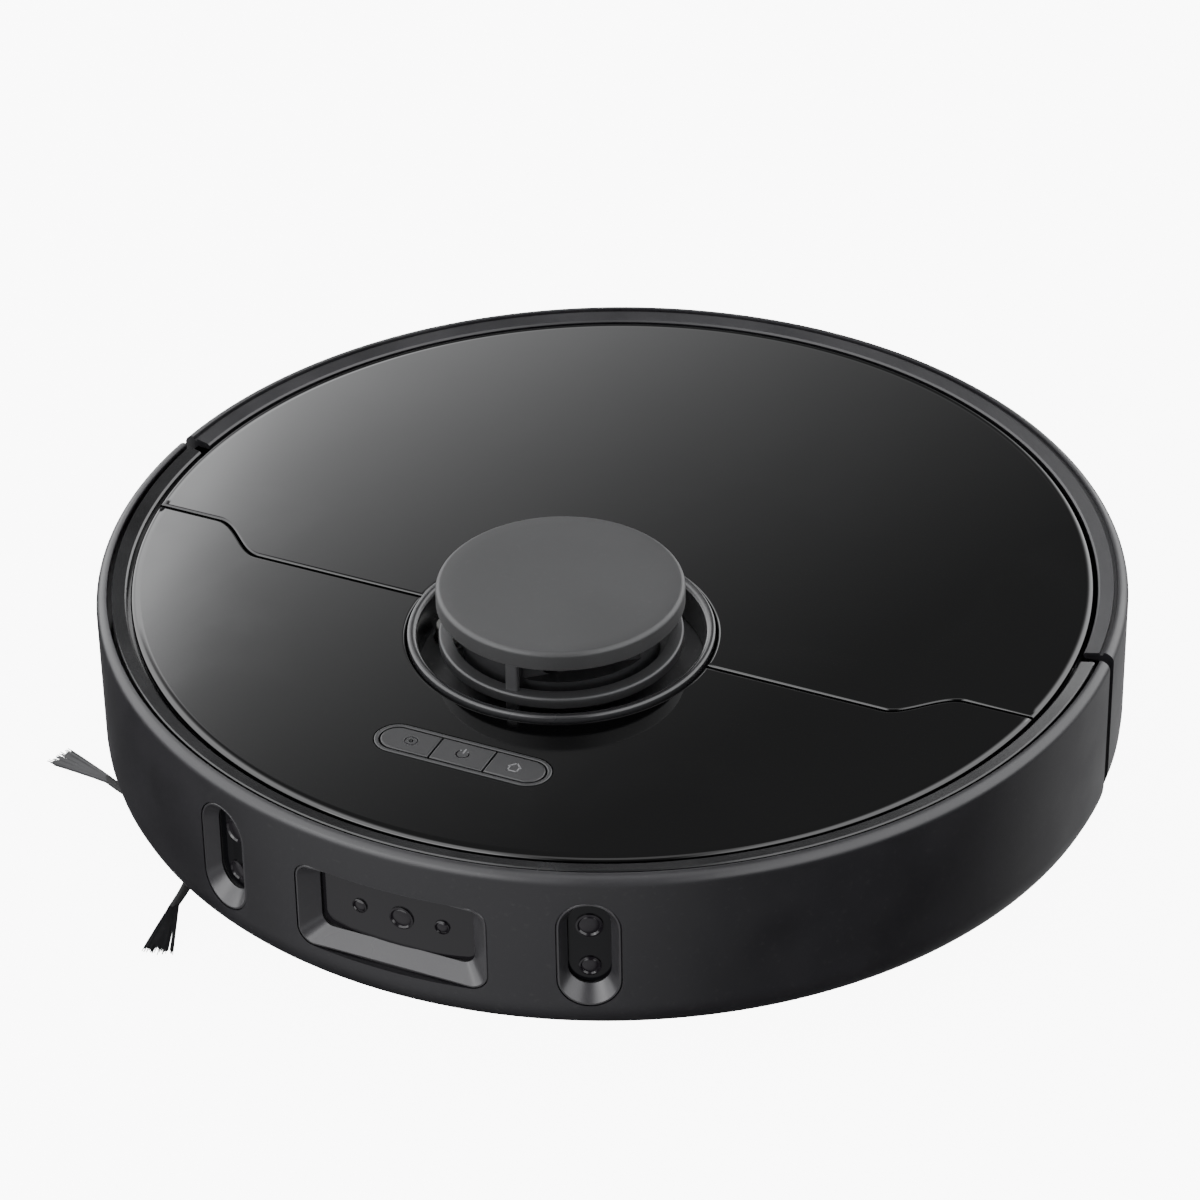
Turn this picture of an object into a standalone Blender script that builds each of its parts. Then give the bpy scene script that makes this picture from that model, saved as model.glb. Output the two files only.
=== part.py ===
"""Robot vacuum with a laser turret, built as separate solids that come apart on a bench.

Metres, +Z up. The origin is on the body's vertical axis at floor level, the front is -Y,
and the robot's own left is +X. Every piece is one named object with its own material.
"""
import math

import bmesh
import bpy
from mathutils import Matrix, Vector

# ---- driving sizes -------------------------------------------------------------------
SHELL_RADIUS = 0.175          # outside of the bumper and the rear shell
RIM_TOP = 0.078               # top of the rim round the glass
UNDERSIDE = 0.009             # ground clearance of the flat bottom plate
TOTAL_HEIGHT = 0.0968         # top of the laser turret
GAP = 0.0004                  # between touching pieces
ROUND = 72                    # sides of the large round pieces
SMALL_ROUND = 20              # sides of the small round pieces

# ---- body shells ---------------------------------------------------------------------
SHELL_WALL = 0.0024
SHELL_BOTTOM = 0.0188         # lower edge of the bumper
BUMPER_HALF_ANGLE = 94.2      # degrees each side of the front
REAR_SHELL_START = 95.8       # degrees from the front, so an open slot is left
BUMPER_TRAVEL = 0.0012
BUMPER_LIP = SHELL_RADIUS - 0.0036
BAND_OUTER = BUMPER_LIP - BUMPER_TRAVEL - 0.0003
BAND_INNER = SHELL_RADIUS - 0.0103
GLASS_RADIUS = SHELL_RADIUS - 0.0117
GLASS_TOP = RIM_TOP - 0.001
GLASS_THICK = 0.0022
GLASS_BOTTOM = GLASS_TOP - GLASS_THICK
DECK_RADIUS = GLASS_RADIUS - 0.0008
DECK_RIM_WALL = 0.003
CASE_RADIUS = SHELL_RADIUS - 0.012
CASE_WALL = 0.0025
PLATE = 0.003                 # bottom plate thickness
FLOOR = UNDERSIDE + PLATE
CASE_TOP = GLASS_BOTTOM - 0.0133
DECK_LOW = CASE_TOP + GAP
DECK_TOP = DECK_LOW + 0.0025
OUTLET_WIDTH, OUTLET_HEIGHT, OUTLET_Z = 0.084, 0.020, 0.046

# ---- seam of the lid -----------------------------------------------------------------
SEAM_Y = -0.040               # straight part beside the turret
SEAM_EDGE_Y = -0.025          # straight part at the rim
SEAM_STEP_IN, SEAM_STEP_OUT = 0.115, 0.138
SEAM_GAP = 0.0010
EDGE_CHAMFER = 0.0004
HINGE = Vector((0, SEAM_Y + 0.0085, GLASS_TOP - GLASS_THICK / 2))
HINGE_PIN, HINGE_BORE = 0.0005, 0.0007

# ---- laser turret --------------------------------------------------------------------
TURRET = Vector((0, -0.041, 0))
CAP_RADIUS, CAP_DEPTH, CAP_WALL = 0.0415, 0.0068, 0.0022
CAP_TRAVEL = 0.0015
CAP_BOTTOM = TOTAL_HEIGHT - CAP_DEPTH
CAGE_RADIUS, CAGE_WALL = 0.0410, 0.0045
CAGE_LOW, CAGE_HIGH = GLASS_BOTTOM, CAP_BOTTOM - 0.0115
CAGE_POST = 0.0043
WELL_OUTER, WELL_WALL, WELL_GAP = 0.0515, 0.0035, 0.0006
HEAD_RADIUS = 0.033
PULLEY_RADIUS, MOTOR_PULLEY_RADIUS = 0.028, 0.005
MOTOR_REACH = 0.040           # turret axis to its motor axis
BELT_THICK, BELT_WIDTH = 0.0010, 0.0024
BELT_LOW = DECK_TOP + 0.0018
SPINDLE = 0.007

# ---- buttons -------------------------------------------------------------------------
PILL_Y = -0.117
PILL_LENGTH, PILL_WIDTH = 0.062, 0.0155
PILL_FRAME = 0.0014
KEY_GAP = 0.0006
KEY_TRAVEL = 0.0005
RESET_RADIUS, RESET = 0.003, Vector((-0.104, 0.080, 0))

# ---- front sensors -------------------------------------------------------------------
WINDOW_HALF_ANGLE = 11.2
WINDOW_LOW, WINDOW_HIGH = 0.0305, 0.0625
OVAL_ANGLE = 21.8
OVAL_WIDTH, OVAL_HEIGHT, OVAL_Z = 0.0210, 0.0410, 0.0480
WALL_WINDOW_ANGLE = 68        # on the robot's right
WALL_WINDOW_Z = 0.040

# ---- running gear --------------------------------------------------------------------
WHEEL_X, WHEEL_RADIUS, WHEEL_WIDTH = 0.124, 0.029, 0.022
HUB_RADIUS = 0.0235
ARM_PIVOT = Vector((0, -0.046, 0.040))
ARM_INNER, ARM_OUTER = 0.0945, 0.1122
LUG_WIDTH = 0.003
PIN_RADIUS, PIN_CLEARANCE = 0.003, 0.0004
CASTER = Vector((0, -0.130, 0))
CASTER_RADIUS, CASTER_WHEEL_RADIUS, CASTER_TRAIL = 0.018, 0.0105, 0.005
CASTER_ROOF = 0.030

# ---- brushes -------------------------------------------------------------------------
ROLLER_Y, ROLLER_Z, ROLLER_HALF = 0.030, 0.0225, 0.080
ROLLER_CORE, ROLLER_BLADE, BLADE_HALF = 0.009, 0.0205, 0.066
TUNNEL_HALF, TUNNEL_DEPTH, TUNNEL_RADIUS, TUNNEL_TOP = 0.087, 0.056, 0.0255, 0.051
GUARD_LOW, GUARD_HIGH = 0.005, UNDERSIDE - GAP
GUARD_BARS = (-0.044, -0.0147, 0.0147, 0.044)
BAR_WIDTH, BAR_NOTCH = 0.0028, 0.0065
SIDE_BRUSH = Vector((-0.110, -0.098, 0))
SIDE_HUB, SIDE_REACH = 0.011, 0.068
SIDE_ARM_ANGLES = (165, 285, 45)

# ---- dust bin, fan, battery, board ---------------------------------------------------
BIN_HALF, BIN_FRONT, BIN_BACK, BIN_WALL = 0.075, 0.063, 0.133, 0.002
BIN_CORNER = 0.012
BIN_LOW, BIN_HIGH = FLOOR + 0.0008, 0.0575
BIN_CLEAR = 0.0012
FAN, FAN_RADIUS = Vector((0.105, 0.080, 0)), 0.024
FAN_LOW, FAN_HIGH = FLOOR + 0.0055, 0.050
BATTERY_HALF, BATTERY_FRONT, BATTERY_BACK, BATTERY_HIGH = 0.070, -0.090, -0.054, 0.048

FRONT = -90.0


# ---- materials -----------------------------------------------------------------------
def material(name, colour, roughness, metallic=0.0):
    """Plain Principled material."""
    made = bpy.data.materials.new(name)
    made.use_nodes = True
    shader = made.node_tree.nodes["Principled BSDF"]
    shader.inputs["Base Color"].default_value = (*colour, 1)
    shader.inputs["Roughness"].default_value = roughness
    shader.inputs["Metallic"].default_value = metallic
    return made


# ---- shape helpers -------------------------------------------------------------------
def finish(name, bm, paint=None):
    """Turn a bmesh in world coordinates into a named object."""
    bmesh.ops.remove_doubles(bm, verts=bm.verts, dist=1e-6)
    bmesh.ops.recalc_face_normals(bm, faces=bm.faces)
    mesh = bpy.data.meshes.new(name)
    bm.to_mesh(mesh)
    bm.free()
    mesh.shade_smooth()
    mesh.set_sharp_from_angle(angle=math.radians(35))
    made = bpy.data.objects.new(name, mesh)
    bpy.context.scene.collection.objects.link(made)
    if paint:
        mesh.materials.append(paint)
    return made


def lathe(profile, sides=ROUND, start=0.0, sweep=360.0):
    """Closed (radius, height) outline turned about Z; a part turn gets flat ends."""
    bm = bmesh.new()
    whole = sweep >= 360
    steps = max(3, round(sides * sweep / 360))
    rings = []
    for i in range(steps if whole else steps + 1):
        angle = math.radians(start + sweep * i / steps)
        c, s = math.cos(angle), math.sin(angle)
        rings.append([bm.verts.new((r * c, r * s, z)) for r, z in profile])
    count = len(profile)
    for i in range(steps):
        near, far = rings[i], rings[(i + 1) % len(rings)]
        for k in range(count):
            after = (k + 1) % count
            if profile[k][0] < 1e-9 and profile[after][0] < 1e-9:
                continue
            bm.faces.new((near[k], near[after], far[after], far[k]))
    if not whole:
        bm.faces.new(rings[0])
        bm.faces.new(list(reversed(rings[-1])))
    bmesh.ops.remove_doubles(bm, verts=bm.verts, dist=1e-6)
    return bm


def prism(outline, low, high):
    """Flat (x, y) outline extruded from one height to another."""
    bm = bmesh.new()
    base = bm.faces.new([bm.verts.new((x, y, low)) for x, y in outline])
    raised = bmesh.ops.extrude_face_region(bm, geom=[base])["geom"]
    verts = [g for g in raised if isinstance(g, bmesh.types.BMVert)]
    bmesh.ops.translate(bm, verts=verts, vec=(0, 0, high - low))
    return bm


def block(low, high):
    """Box between two corners, given in any order."""
    bm = bmesh.new()
    bmesh.ops.create_cube(bm, size=1)
    size = Vector([abs(b - a) for a, b in zip(low, high)])
    bmesh.ops.scale(bm, verts=bm.verts, vec=size)
    bmesh.ops.translate(bm, verts=bm.verts, vec=(Vector(low) + Vector(high)) / 2)
    return bm


def drum(radius, low, high, inner=0.0, sides=SMALL_ROUND):
    """Upright cylinder, or a tube when it has an inner radius."""
    return lathe([(inner, low), (radius, low), (radius, high), (inner, high)], sides)


def moved(bm, x=0.0, y=0.0, z=0.0):
    bmesh.ops.translate(bm, verts=bm.verts, vec=(x, y, z))
    return bm


def at(bm, point):
    """Shift a shape sideways to a vertical axis, keeping its heights."""
    return moved(bm, point.x, point.y)


def along_x(bm, y, z):
    """Lay a shape that was turned about Z along X."""
    bmesh.ops.rotate(bm, verts=bm.verts, matrix=Matrix.Rotation(math.radians(90), 3, "Y"))
    return moved(bm, 0, y, z)


def mirrored(bm, side):
    """Copy a shape made for the left over to the right when the side is -1."""
    if side < 0:
        bmesh.ops.scale(bm, verts=bm.verts, vec=(-1, 1, 1))
        bmesh.ops.reverse_faces(bm, faces=bm.faces)
    return bm


def outward(bm, angle, distance):
    """Stand a flat shape made in XY upright so that it faces outwards at an angle."""
    stand = Matrix.Rotation(math.radians(90), 4, "X")
    turn = Matrix.Rotation(math.radians(angle + 90), 4, "Z")
    bmesh.ops.transform(bm, matrix=turn @ Matrix.Translation((0, -distance, 0)) @ stand, verts=bm.verts)
    return bm


def merged(*shapes):
    """Several shapes in one bmesh, for use as one tool."""
    whole = bmesh.new()
    for shape in shapes:
        mesh = bpy.data.meshes.new("shape")
        shape.to_mesh(mesh)
        shape.free()
        whole.from_mesh(mesh)
        bpy.data.meshes.remove(mesh)
    return whole


def boolean(target, shape, operation="DIFFERENCE"):
    """Cut a shape from an object, or join it on, with a live Boolean modifier."""
    tool = finish(f"{target.name}_{operation.lower()}_{len(target.modifiers)}", shape)
    tool.hide_render = True
    tool.display_type = "WIRE"
    modifier = target.modifiers.new(operation.title(), "BOOLEAN")
    modifier.solver = "EXACT"
    modifier.operation = operation
    modifier.use_self = True
    modifier.object = tool
    return target


def set_origin(target, point, carrier=None):
    """Put an object's origin on its joint, and hang it on the piece that carries it."""
    point = Vector(point)
    target.data.transform(Matrix.Translation(-point))
    target.location = point
    if carrier:
        target.parent = carrier
        target.location = point - carrier.location
    return target


def arc(radius, start, end, steps, centre=(0, 0)):
    """Points of an arc, in degrees, both ends included."""
    turns = [math.radians(start + (end - start) * i / steps) for i in range(steps + 1)]
    return [(centre[0] + radius * math.cos(t), centre[1] + radius * math.sin(t)) for t in turns]


def stadium(length, width, steps=8, centre=(0, 0)):
    """Outline with round ends, its length along X."""
    x, y = centre
    half = (length - width) / 2
    return arc(width / 2, -90, 90, steps, (x + half, y)) + arc(width / 2, 90, 270, steps, (x - half, y))


def standing_stadium(width, height, steps=8):
    return [(-y, x) for x, y in stadium(height, width, steps)]


def rounded(width, height, radius, steps=3, centre=(0, 0)):
    """Rectangle with round corners."""
    points = []
    for turn, sx, sy in ((0, 1, 1), (90, -1, 1), (180, -1, -1), (270, 1, -1)):
        corner = (centre[0] + sx * (width / 2 - radius), centre[1] + sy * (height / 2 - radius))
        points += arc(radius, turn, turn + 90, steps, corner)
    return points


def hull_outline(big, big_radius, small, small_radius, steps=10):
    """Outline of two circles wrapped by straight tangents, as for a belt or an arm."""
    reach = math.hypot(small[0] - big[0], small[1] - big[1])
    heading = math.degrees(math.atan2(small[1] - big[1], small[0] - big[0]))
    lean = math.degrees(math.acos((big_radius - small_radius) / reach))
    outer = arc(big_radius, heading + lean, heading + 360 - lean, 2 * steps, big)
    return outer + arc(small_radius, heading - lean, heading + lean, steps, small)


def soften(target, width, angle=60, segments=1):
    """Small bevel on the sharp edges."""
    bevel = target.modifiers.new("Edge", "BEVEL")
    bevel.width = width
    bevel.segments = segments
    bevel.limit_method = "ANGLE"
    bevel.angle_limit = math.radians(angle)
    return target


# ---- plan positions shared by the bottom case and what stands in it -------------------
def cliff_places():
    """Downward sensors at the front corners and ahead of the wheels."""
    reach = CASE_RADIUS - 0.026
    return [arc(reach, FRONT + turn, FRONT + turn, 1)[0] for turn in (-58, -33, 33, 58)]


def contact_places():
    return [(side * 0.045, CASTER.y + 0.004) for side in (1, -1)]


CLIFF_SIZE = (0.020, 0.009)
CONTACT_SIZE = (0.024, 0.010)


def plate_box(place, size, low, high, grow=0.0):
    x, y = place
    w, d = size[0] / 2 + grow, size[1] / 2 + grow
    return block((x - w, y - d, low), (x + w, y + d, high))


def bin_outline(grow=0.0):
    """Plan outline of the dust bin, grown or shrunk all round."""
    size = (2 * (BIN_HALF + grow), BIN_BACK - BIN_FRONT + 2 * grow)
    return rounded(*size, BIN_CORNER + grow, 4, (0, (BIN_FRONT + BIN_BACK) / 2))


# ---- shells --------------------------------------------------------------------------
def make_bottom_case():
    """Flat plate with an upturned wall, lugs for the wheel arms, and an opening per unit."""
    outline = [
        (0, UNDERSIDE), (CASE_RADIUS - 0.012, UNDERSIDE), (CASE_RADIUS - 0.003, UNDERSIDE + 0.003),
        (CASE_RADIUS, UNDERSIDE + 0.008), (CASE_RADIUS, CASE_TOP), (CASE_RADIUS - CASE_WALL, CASE_TOP),
        (CASE_RADIUS - CASE_WALL, FLOOR + 0.006), (CASE_RADIUS - 0.0135, FLOOR), (0, FLOOR),
    ]
    case = finish("bottom_case", lathe(outline), PLASTIC)
    lugs = []
    for side in (1, -1):
        for x in (ARM_INNER - GAP - LUG_WIDTH, ARM_OUTER + GAP):
            low = (x, ARM_PIVOT.y - 0.0055, FLOOR - 0.001)
            lug = block(low, (x + LUG_WIDTH, ARM_PIVOT.y + 0.0048, ARM_PIVOT.z + 0.006))
            lugs.append(mirrored(lug, side))
    for x, y in board_posts():
        lugs.append(moved(drum(0.0025, FLOOR - 0.001, BOARD_Z - GAP), x, y))
    boolean(case, merged(*lugs), "UNION")
    low, high = UNDERSIDE - 0.004, FLOOR + 0.003
    holes = [at(drum(CASTER_RADIUS + 0.0045, low, high), CASTER)]
    holes.append(at(drum(PIN_RADIUS + 0.001, low, high), SIDE_BRUSH))
    half, deep = TUNNEL_HALF + GAP, TUNNEL_DEPTH / 2 + GAP
    holes.append(block((-half, ROLLER_Y - deep, low), (half, ROLLER_Y + deep, high)))
    for side in (1, -1):
        arm = block((ARM_INNER - 0.0008, ARM_PIVOT.y - 0.011, low), (ARM_OUTER + 0.0002, 0.019, high))
        inner, outer = WHEEL_X - WHEEL_WIDTH / 2 - 0.002, WHEEL_X + WHEEL_WIDTH / 2 + 0.003
        wheel = block((inner, -WHEEL_RADIUS - 0.0105, low), (outer, WHEEL_RADIUS + 0.004, high))
        bore = along_x(drum(PIN_RADIUS + PIN_CLEARANCE, ARM_INNER - 0.006, ARM_OUTER + 0.006), *ARM_PIVOT.yz)
        holes += [mirrored(arm, side), mirrored(wheel, side), mirrored(bore, side)]
    holes += [plate_box(place, CONTACT_SIZE, low, high) for place in contact_places()]
    holes += [plate_box(place, CLIFF_SIZE, low, high) for place in cliff_places()]
    return boolean(case, merged(*holes))


def make_rear_shell():
    """Fixed wall round the back: bottom flange, rounded rim with a groove, air outlet."""
    outer, inner = SHELL_RADIUS, SHELL_RADIUS - SHELL_WALL
    low = SHELL_BOTTOM + 0.001
    outline = [
        (CASE_RADIUS + GAP, low), (outer - 0.0042, low), (outer - 0.0015, low + 0.004), (outer, low + 0.012),
        (outer, RIM_TOP - 0.0046), (outer - 0.0006, RIM_TOP - 0.0020), (outer - 0.0020, RIM_TOP - 0.0006),
        (BUMPER_LIP, RIM_TOP), (BUMPER_LIP, RIM_TOP - 0.0012), (BAND_OUTER, RIM_TOP - 0.0012),
        (BAND_OUTER, RIM_TOP - 0.0004), (BAND_INNER + 0.0006, RIM_TOP - 0.0012), (BAND_INNER, RIM_TOP - 0.0018),
        (BAND_INNER, RIM_TOP - 0.0034), (inner - 0.003, RIM_TOP - 0.0034), (inner, RIM_TOP - 0.0060),
        (inner, low + 0.0125), (inner - 0.0014, low + 0.0052), (inner - 0.0032, low + 0.002),
        (CASE_RADIUS + GAP, low + 0.002),
    ]
    turn = 360 - 2 * REAR_SHELL_START
    shell = finish("rear_shell", lathe(outline, ROUND, FRONT + REAR_SHELL_START, turn), SHELL)
    opening = prism(rounded(OUTLET_WIDTH, OUTLET_HEIGHT, 0.004, centre=(0, OUTLET_Z)), 0, 0.030)
    return boolean(shell, outward(opening, 90, SHELL_RADIUS - 0.02))


def make_outlet_grille():
    """Slotted cover behind the opening in the rear shell."""
    turn = math.degrees((OUTLET_WIDTH + 0.008) / SHELL_RADIUS)
    outer = SHELL_RADIUS - SHELL_WALL - GAP
    low, high = OUTLET_Z - OUTLET_HEIGHT / 2 - 0.004, OUTLET_Z + OUTLET_HEIGHT / 2 + 0.004
    outline = [(outer - 0.0018, low), (outer, low), (outer, high), (outer - 0.0018, high)]
    grille = finish("outlet_grille", lathe(outline, ROUND, 90 - turn / 2, turn), PLASTIC_GREY)
    slots = []
    for i in range(11):
        slot = moved(prism(standing_stadium(0.0030, OUTLET_HEIGHT - 0.004, 3), 0, 0.012), y=OUTLET_Z)
        slots.append(outward(slot, 90 + (i - 5) * 2.3, SHELL_RADIUS - 0.010))
    return boolean(grille, merged(*slots))


def make_bumper():
    """Sliding front wall with the sensor openings and the dark windows behind them."""
    outer, inner = SHELL_RADIUS, SHELL_RADIUS - SHELL_WALL
    low = SHELL_BOTTOM
    outline = [
        (inner - 0.0040, low), (outer - 0.0036, low), (outer - 0.0013, low + 0.0035), (outer, low + 0.009),
        (outer, RIM_TOP - 0.0046), (outer - 0.0006, RIM_TOP - 0.0020), (outer - 0.0020, RIM_TOP - 0.0006),
        (BUMPER_LIP, RIM_TOP), (BUMPER_LIP, RIM_TOP - 0.0022), (inner, RIM_TOP - 0.0045),
        (inner, low + 0.0095), (inner - 0.0013, low + 0.0042), (inner - 0.0040, low + 0.002),
    ]
    turn = 2 * BUMPER_HALF_ANGLE
    bumper = finish("bumper", lathe(outline, ROUND, FRONT - turn / 2, turn), SHELL)
    width = 2 * SHELL_RADIUS * math.sin(math.radians(WINDOW_HALF_ANGLE))
    centre = (0, (WINDOW_HIGH + WINDOW_LOW) / 2)
    front = prism(rounded(width, WINDOW_HIGH - WINDOW_LOW, 0.006, centre=centre), 0, 0.030)
    holes = [outward(front, FRONT, outer - 0.020)]
    for side in (1, -1):
        hole = moved(prism(standing_stadium(OVAL_WIDTH, OVAL_HEIGHT), 0, 0.030), y=OVAL_Z)
        holes.append(outward(hole, FRONT + side * OVAL_ANGLE, outer - 0.020))
    wall = prism(rounded(0.026, 0.014, 0.004, centre=(0, WALL_WINDOW_Z)), 0, 0.030)
    holes.append(outward(wall, FRONT - WALL_WINDOW_ANGLE, outer - 0.020))
    boolean(bumper, merged(*holes))
    set_origin(bumper, (0, 0, WINDOW_LOW))

    back = inner - GAP
    turn = 2 * (WINDOW_HALF_ANGLE + 1.2)
    low, high = WINDOW_LOW - 0.003, WINDOW_HIGH + 0.003
    outline = [(back - 0.0015, low), (back, low), (back, high), (back - 0.0015, high)]
    pane = finish("front_window", lathe(outline, ROUND, FRONT - turn / 2, turn), WINDOW_TINT)
    set_origin(pane, (0, 0, WINDOW_LOW), bumper)
    for side, name in ((1, "left"), (-1, "right")):
        half = OVAL_WIDTH / 2 + 0.0015
        plate = prism(standing_stadium(2 * half, OVAL_HEIGHT + 0.003), 0, 0.0016)
        reach = math.sqrt(back**2 - half**2) - 0.0018
        pane = outward(moved(plate, y=OVAL_Z), FRONT + side * OVAL_ANGLE, reach)
        set_origin(finish(f"laser_window_{name}", pane, WINDOW_DARK), (0, 0, WINDOW_LOW), bumper)
    plate = prism(rounded(0.030, 0.018, 0.004, centre=(0, WALL_WINDOW_Z)), 0, 0.0016)
    pane = outward(plate, FRONT - WALL_WINDOW_ANGLE, math.sqrt(back**2 - 0.015**2) - 0.0018)
    set_origin(finish("wall_sensor_window", pane, WINDOW_DARK), (0, 0, WINDOW_LOW), bumper)


def make_front_rim():
    """Fixed band between the lip of the bumper and the glass."""
    inner = DECK_RADIUS + GAP
    outline = [
        (inner, RIM_TOP - 0.0078), (BAND_OUTER, RIM_TOP - 0.0078), (BAND_OUTER, RIM_TOP - 0.0004),
        (BAND_INNER + 0.0006, RIM_TOP - 0.0012), (BAND_INNER, RIM_TOP - 0.0018),
        (BAND_INNER, GLASS_BOTTOM - 0.001), (inner, GLASS_BOTTOM - 0.001),
    ]
    turn = 2 * (BUMPER_HALF_ANGLE - 0.3)
    return finish("front_rim", lathe(outline, ROUND, FRONT - turn / 2, turn), SHELL)


def make_inner_deck():
    """Closes the case, carries the turret spindle and the glass, and leaves the bin bay open."""
    rim = GLASS_BOTTOM - GAP
    outline = [
        (0, DECK_LOW), (DECK_RADIUS, DECK_LOW), (DECK_RADIUS, rim), (DECK_RADIUS - DECK_RIM_WALL, rim),
        (DECK_RADIUS - DECK_RIM_WALL, DECK_TOP), (0, DECK_TOP),
    ]
    deck = finish("inner_deck", lathe(outline), PLASTIC)
    boolean(deck, at(drum(SPINDLE, DECK_TOP - 0.001, CAGE_HIGH + 0.004), TURRET), "UNION")
    below, above = DECK_LOW - 0.004, DECK_TOP + 0.002
    bay = prism(bin_outline(BIN_CLEAR), below, above)
    shaft = moved(at(drum(MOTOR_PULLEY_RADIUS + 0.0022, below, above), TURRET), -MOTOR_REACH)
    reset = at(drum(RESET_RADIUS + GAP, below, above), RESET)
    return boolean(deck, merged(bay, shaft, reset))


# ---- glass and lid -------------------------------------------------------------------
def seam_step(back):
    """S-shaped part of the seam on the robot's left, from the rim inwards."""
    shift = SEAM_GAP / 2 * (1 if back else -1)
    points = []
    for i in range(9):
        share = i / 8
        ease = share * share * (3 - 2 * share)
        x = SEAM_STEP_OUT + (SEAM_STEP_IN - SEAM_STEP_OUT) * share
        points.append((x, SEAM_EDGE_Y + (SEAM_Y - SEAM_EDGE_Y) * ease + shift))
    return points


def panel_outline(back):
    """Outline of the lid (back) or of the fixed front glass."""
    step = seam_step(back)
    other = [(-x, y) for x, y in reversed(step)]
    lean = math.degrees(math.asin(step[0][1] / GLASS_RADIUS))
    radius = WELL_OUTER + WELL_GAP
    tilt = math.degrees(math.asin((step[-1][1] - TURRET.y) / radius))
    if back:
        rim = arc(GLASS_RADIUS, 180 - lean, lean, 44)
        return rim + step + arc(radius, tilt, 180 - tilt, 28, (0, TURRET.y)) + other
    rim = arc(GLASS_RADIUS, -180 - lean, lean, 36)
    return rim + step + arc(radius, tilt, -180 - tilt, 28, (0, TURRET.y)) + other


def make_front_glass():
    """Fixed glossy panel in front of the seam, with the slot for the buttons."""
    glass = finish("front_glass", prism(panel_outline(False), GLASS_BOTTOM, GLASS_TOP), GLOSS)
    outline = stadium(PILL_LENGTH + 2 * GAP, PILL_WIDTH + 2 * GAP, centre=(0, PILL_Y))
    boolean(glass, prism(outline, GLASS_BOTTOM - 0.003, GLASS_TOP + 0.003))
    return soften(glass, EDGE_CHAMFER)


def make_lid():
    """Glossy lid that turns on two thin pins of the turret ring, and its stiffening frame."""
    lid = finish("lid", prism(panel_outline(True), GLASS_BOTTOM, GLASS_TOP), GLOSS)
    soften(lid, EDGE_CHAMFER)
    bores = []
    for side in (1, -1):
        bore = drum(HINGE_BORE, WELL_OUTER - 0.006, WELL_OUTER + 0.0052, sides=12)
        bores.append(mirrored(along_x(bore, *HINGE.yz), side))
    boolean(lid, merged(*bores))
    set_origin(lid, HINGE)
    reach = DECK_RADIUS - DECK_RIM_WALL - 0.0015
    start = math.degrees(math.asin((HINGE.y + 0.006) / reach))
    inner = WELL_OUTER + 0.004
    lean = math.degrees(math.asin((HINGE.y + 0.006 - TURRET.y) / inner))
    outline = arc(reach, 180 - start, start, 44) + arc(inner, lean, 180 - lean, 20, (0, TURRET.y))
    frame = finish("lid_frame", prism(outline, GLASS_BOTTOM - GAP - 0.0018, GLASS_BOTTOM - GAP), PLASTIC)
    windows = []
    for x in (-0.105, -0.052, 0.052, 0.105):
        deep = 0.050 if abs(x) > 0.08 else 0.075
        centre = (x, 0.020 + deep / 2 + (0.006 if abs(x) > 0.08 else 0.016))
        windows.append(prism(rounded(0.042, deep, 0.006, centre=centre), GLASS_BOTTOM - 0.006, GLASS_BOTTOM + 0.002))
    boolean(frame, merged(*windows))
    set_origin(frame, HINGE, lid)


# ---- laser turret --------------------------------------------------------------------
def make_well_ring():
    """Trim ring round the turret well, with the two hinge pins of the lid."""
    top = RIM_TOP + 0.0008
    outline = [
        (WELL_OUTER - WELL_WALL, DECK_TOP + GAP), (WELL_OUTER, DECK_TOP + GAP), (WELL_OUTER, top - 0.0008),
        (WELL_OUTER - 0.0007, top), (WELL_OUTER - 0.0016, top), (WELL_OUTER - WELL_WALL, top - 0.0024),
    ]
    ring = finish("well_ring", at(lathe(outline, 60), TURRET), SATIN)
    pins = []
    for side in (1, -1):
        pin = drum(HINGE_PIN, WELL_OUTER - 0.0025, WELL_OUTER + 0.0045, sides=12)
        pins.append(mirrored(along_x(pin, *HINGE.yz), side))
    return boolean(ring, merged(*pins), "UNION")


def make_turret_cage():
    """Ring on three posts: the posts stand on the deck and end in a crown inside the cap."""
    inner = CAGE_RADIUS - CAGE_WALL
    crown = CAP_RADIUS - CAP_WALL - 0.0005
    outline = [(inner, CAGE_LOW), (CAGE_RADIUS, CAGE_LOW), (CAGE_RADIUS, CAGE_HIGH - 0.0006),
               (CAGE_RADIUS - 0.0006, CAGE_HIGH), (inner, CAGE_HIGH)]
    cage = finish("turret_cage", at(lathe(outline, 48), TURRET), SATIN)
    ceiling = TOTAL_HEIGHT - 0.0022 - CAP_TRAVEL - 0.0004
    top = at(drum(crown, CAP_BOTTOM + 0.0002, ceiling, inner - 0.0005, 48), TURRET)
    posts = []
    for angle in (FRONT, 30, 150):
        post = block((inner - 0.0003, -CAGE_POST / 2, DECK_TOP + GAP), (crown - 0.0002, CAGE_POST / 2, ceiling - 0.0008))
        bmesh.ops.rotate(post, verts=post.verts, matrix=Matrix.Rotation(math.radians(angle), 3, "Z"))
        posts.append(at(post, TURRET))
    return boolean(cage, merged(top, *posts), "UNION")


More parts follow.
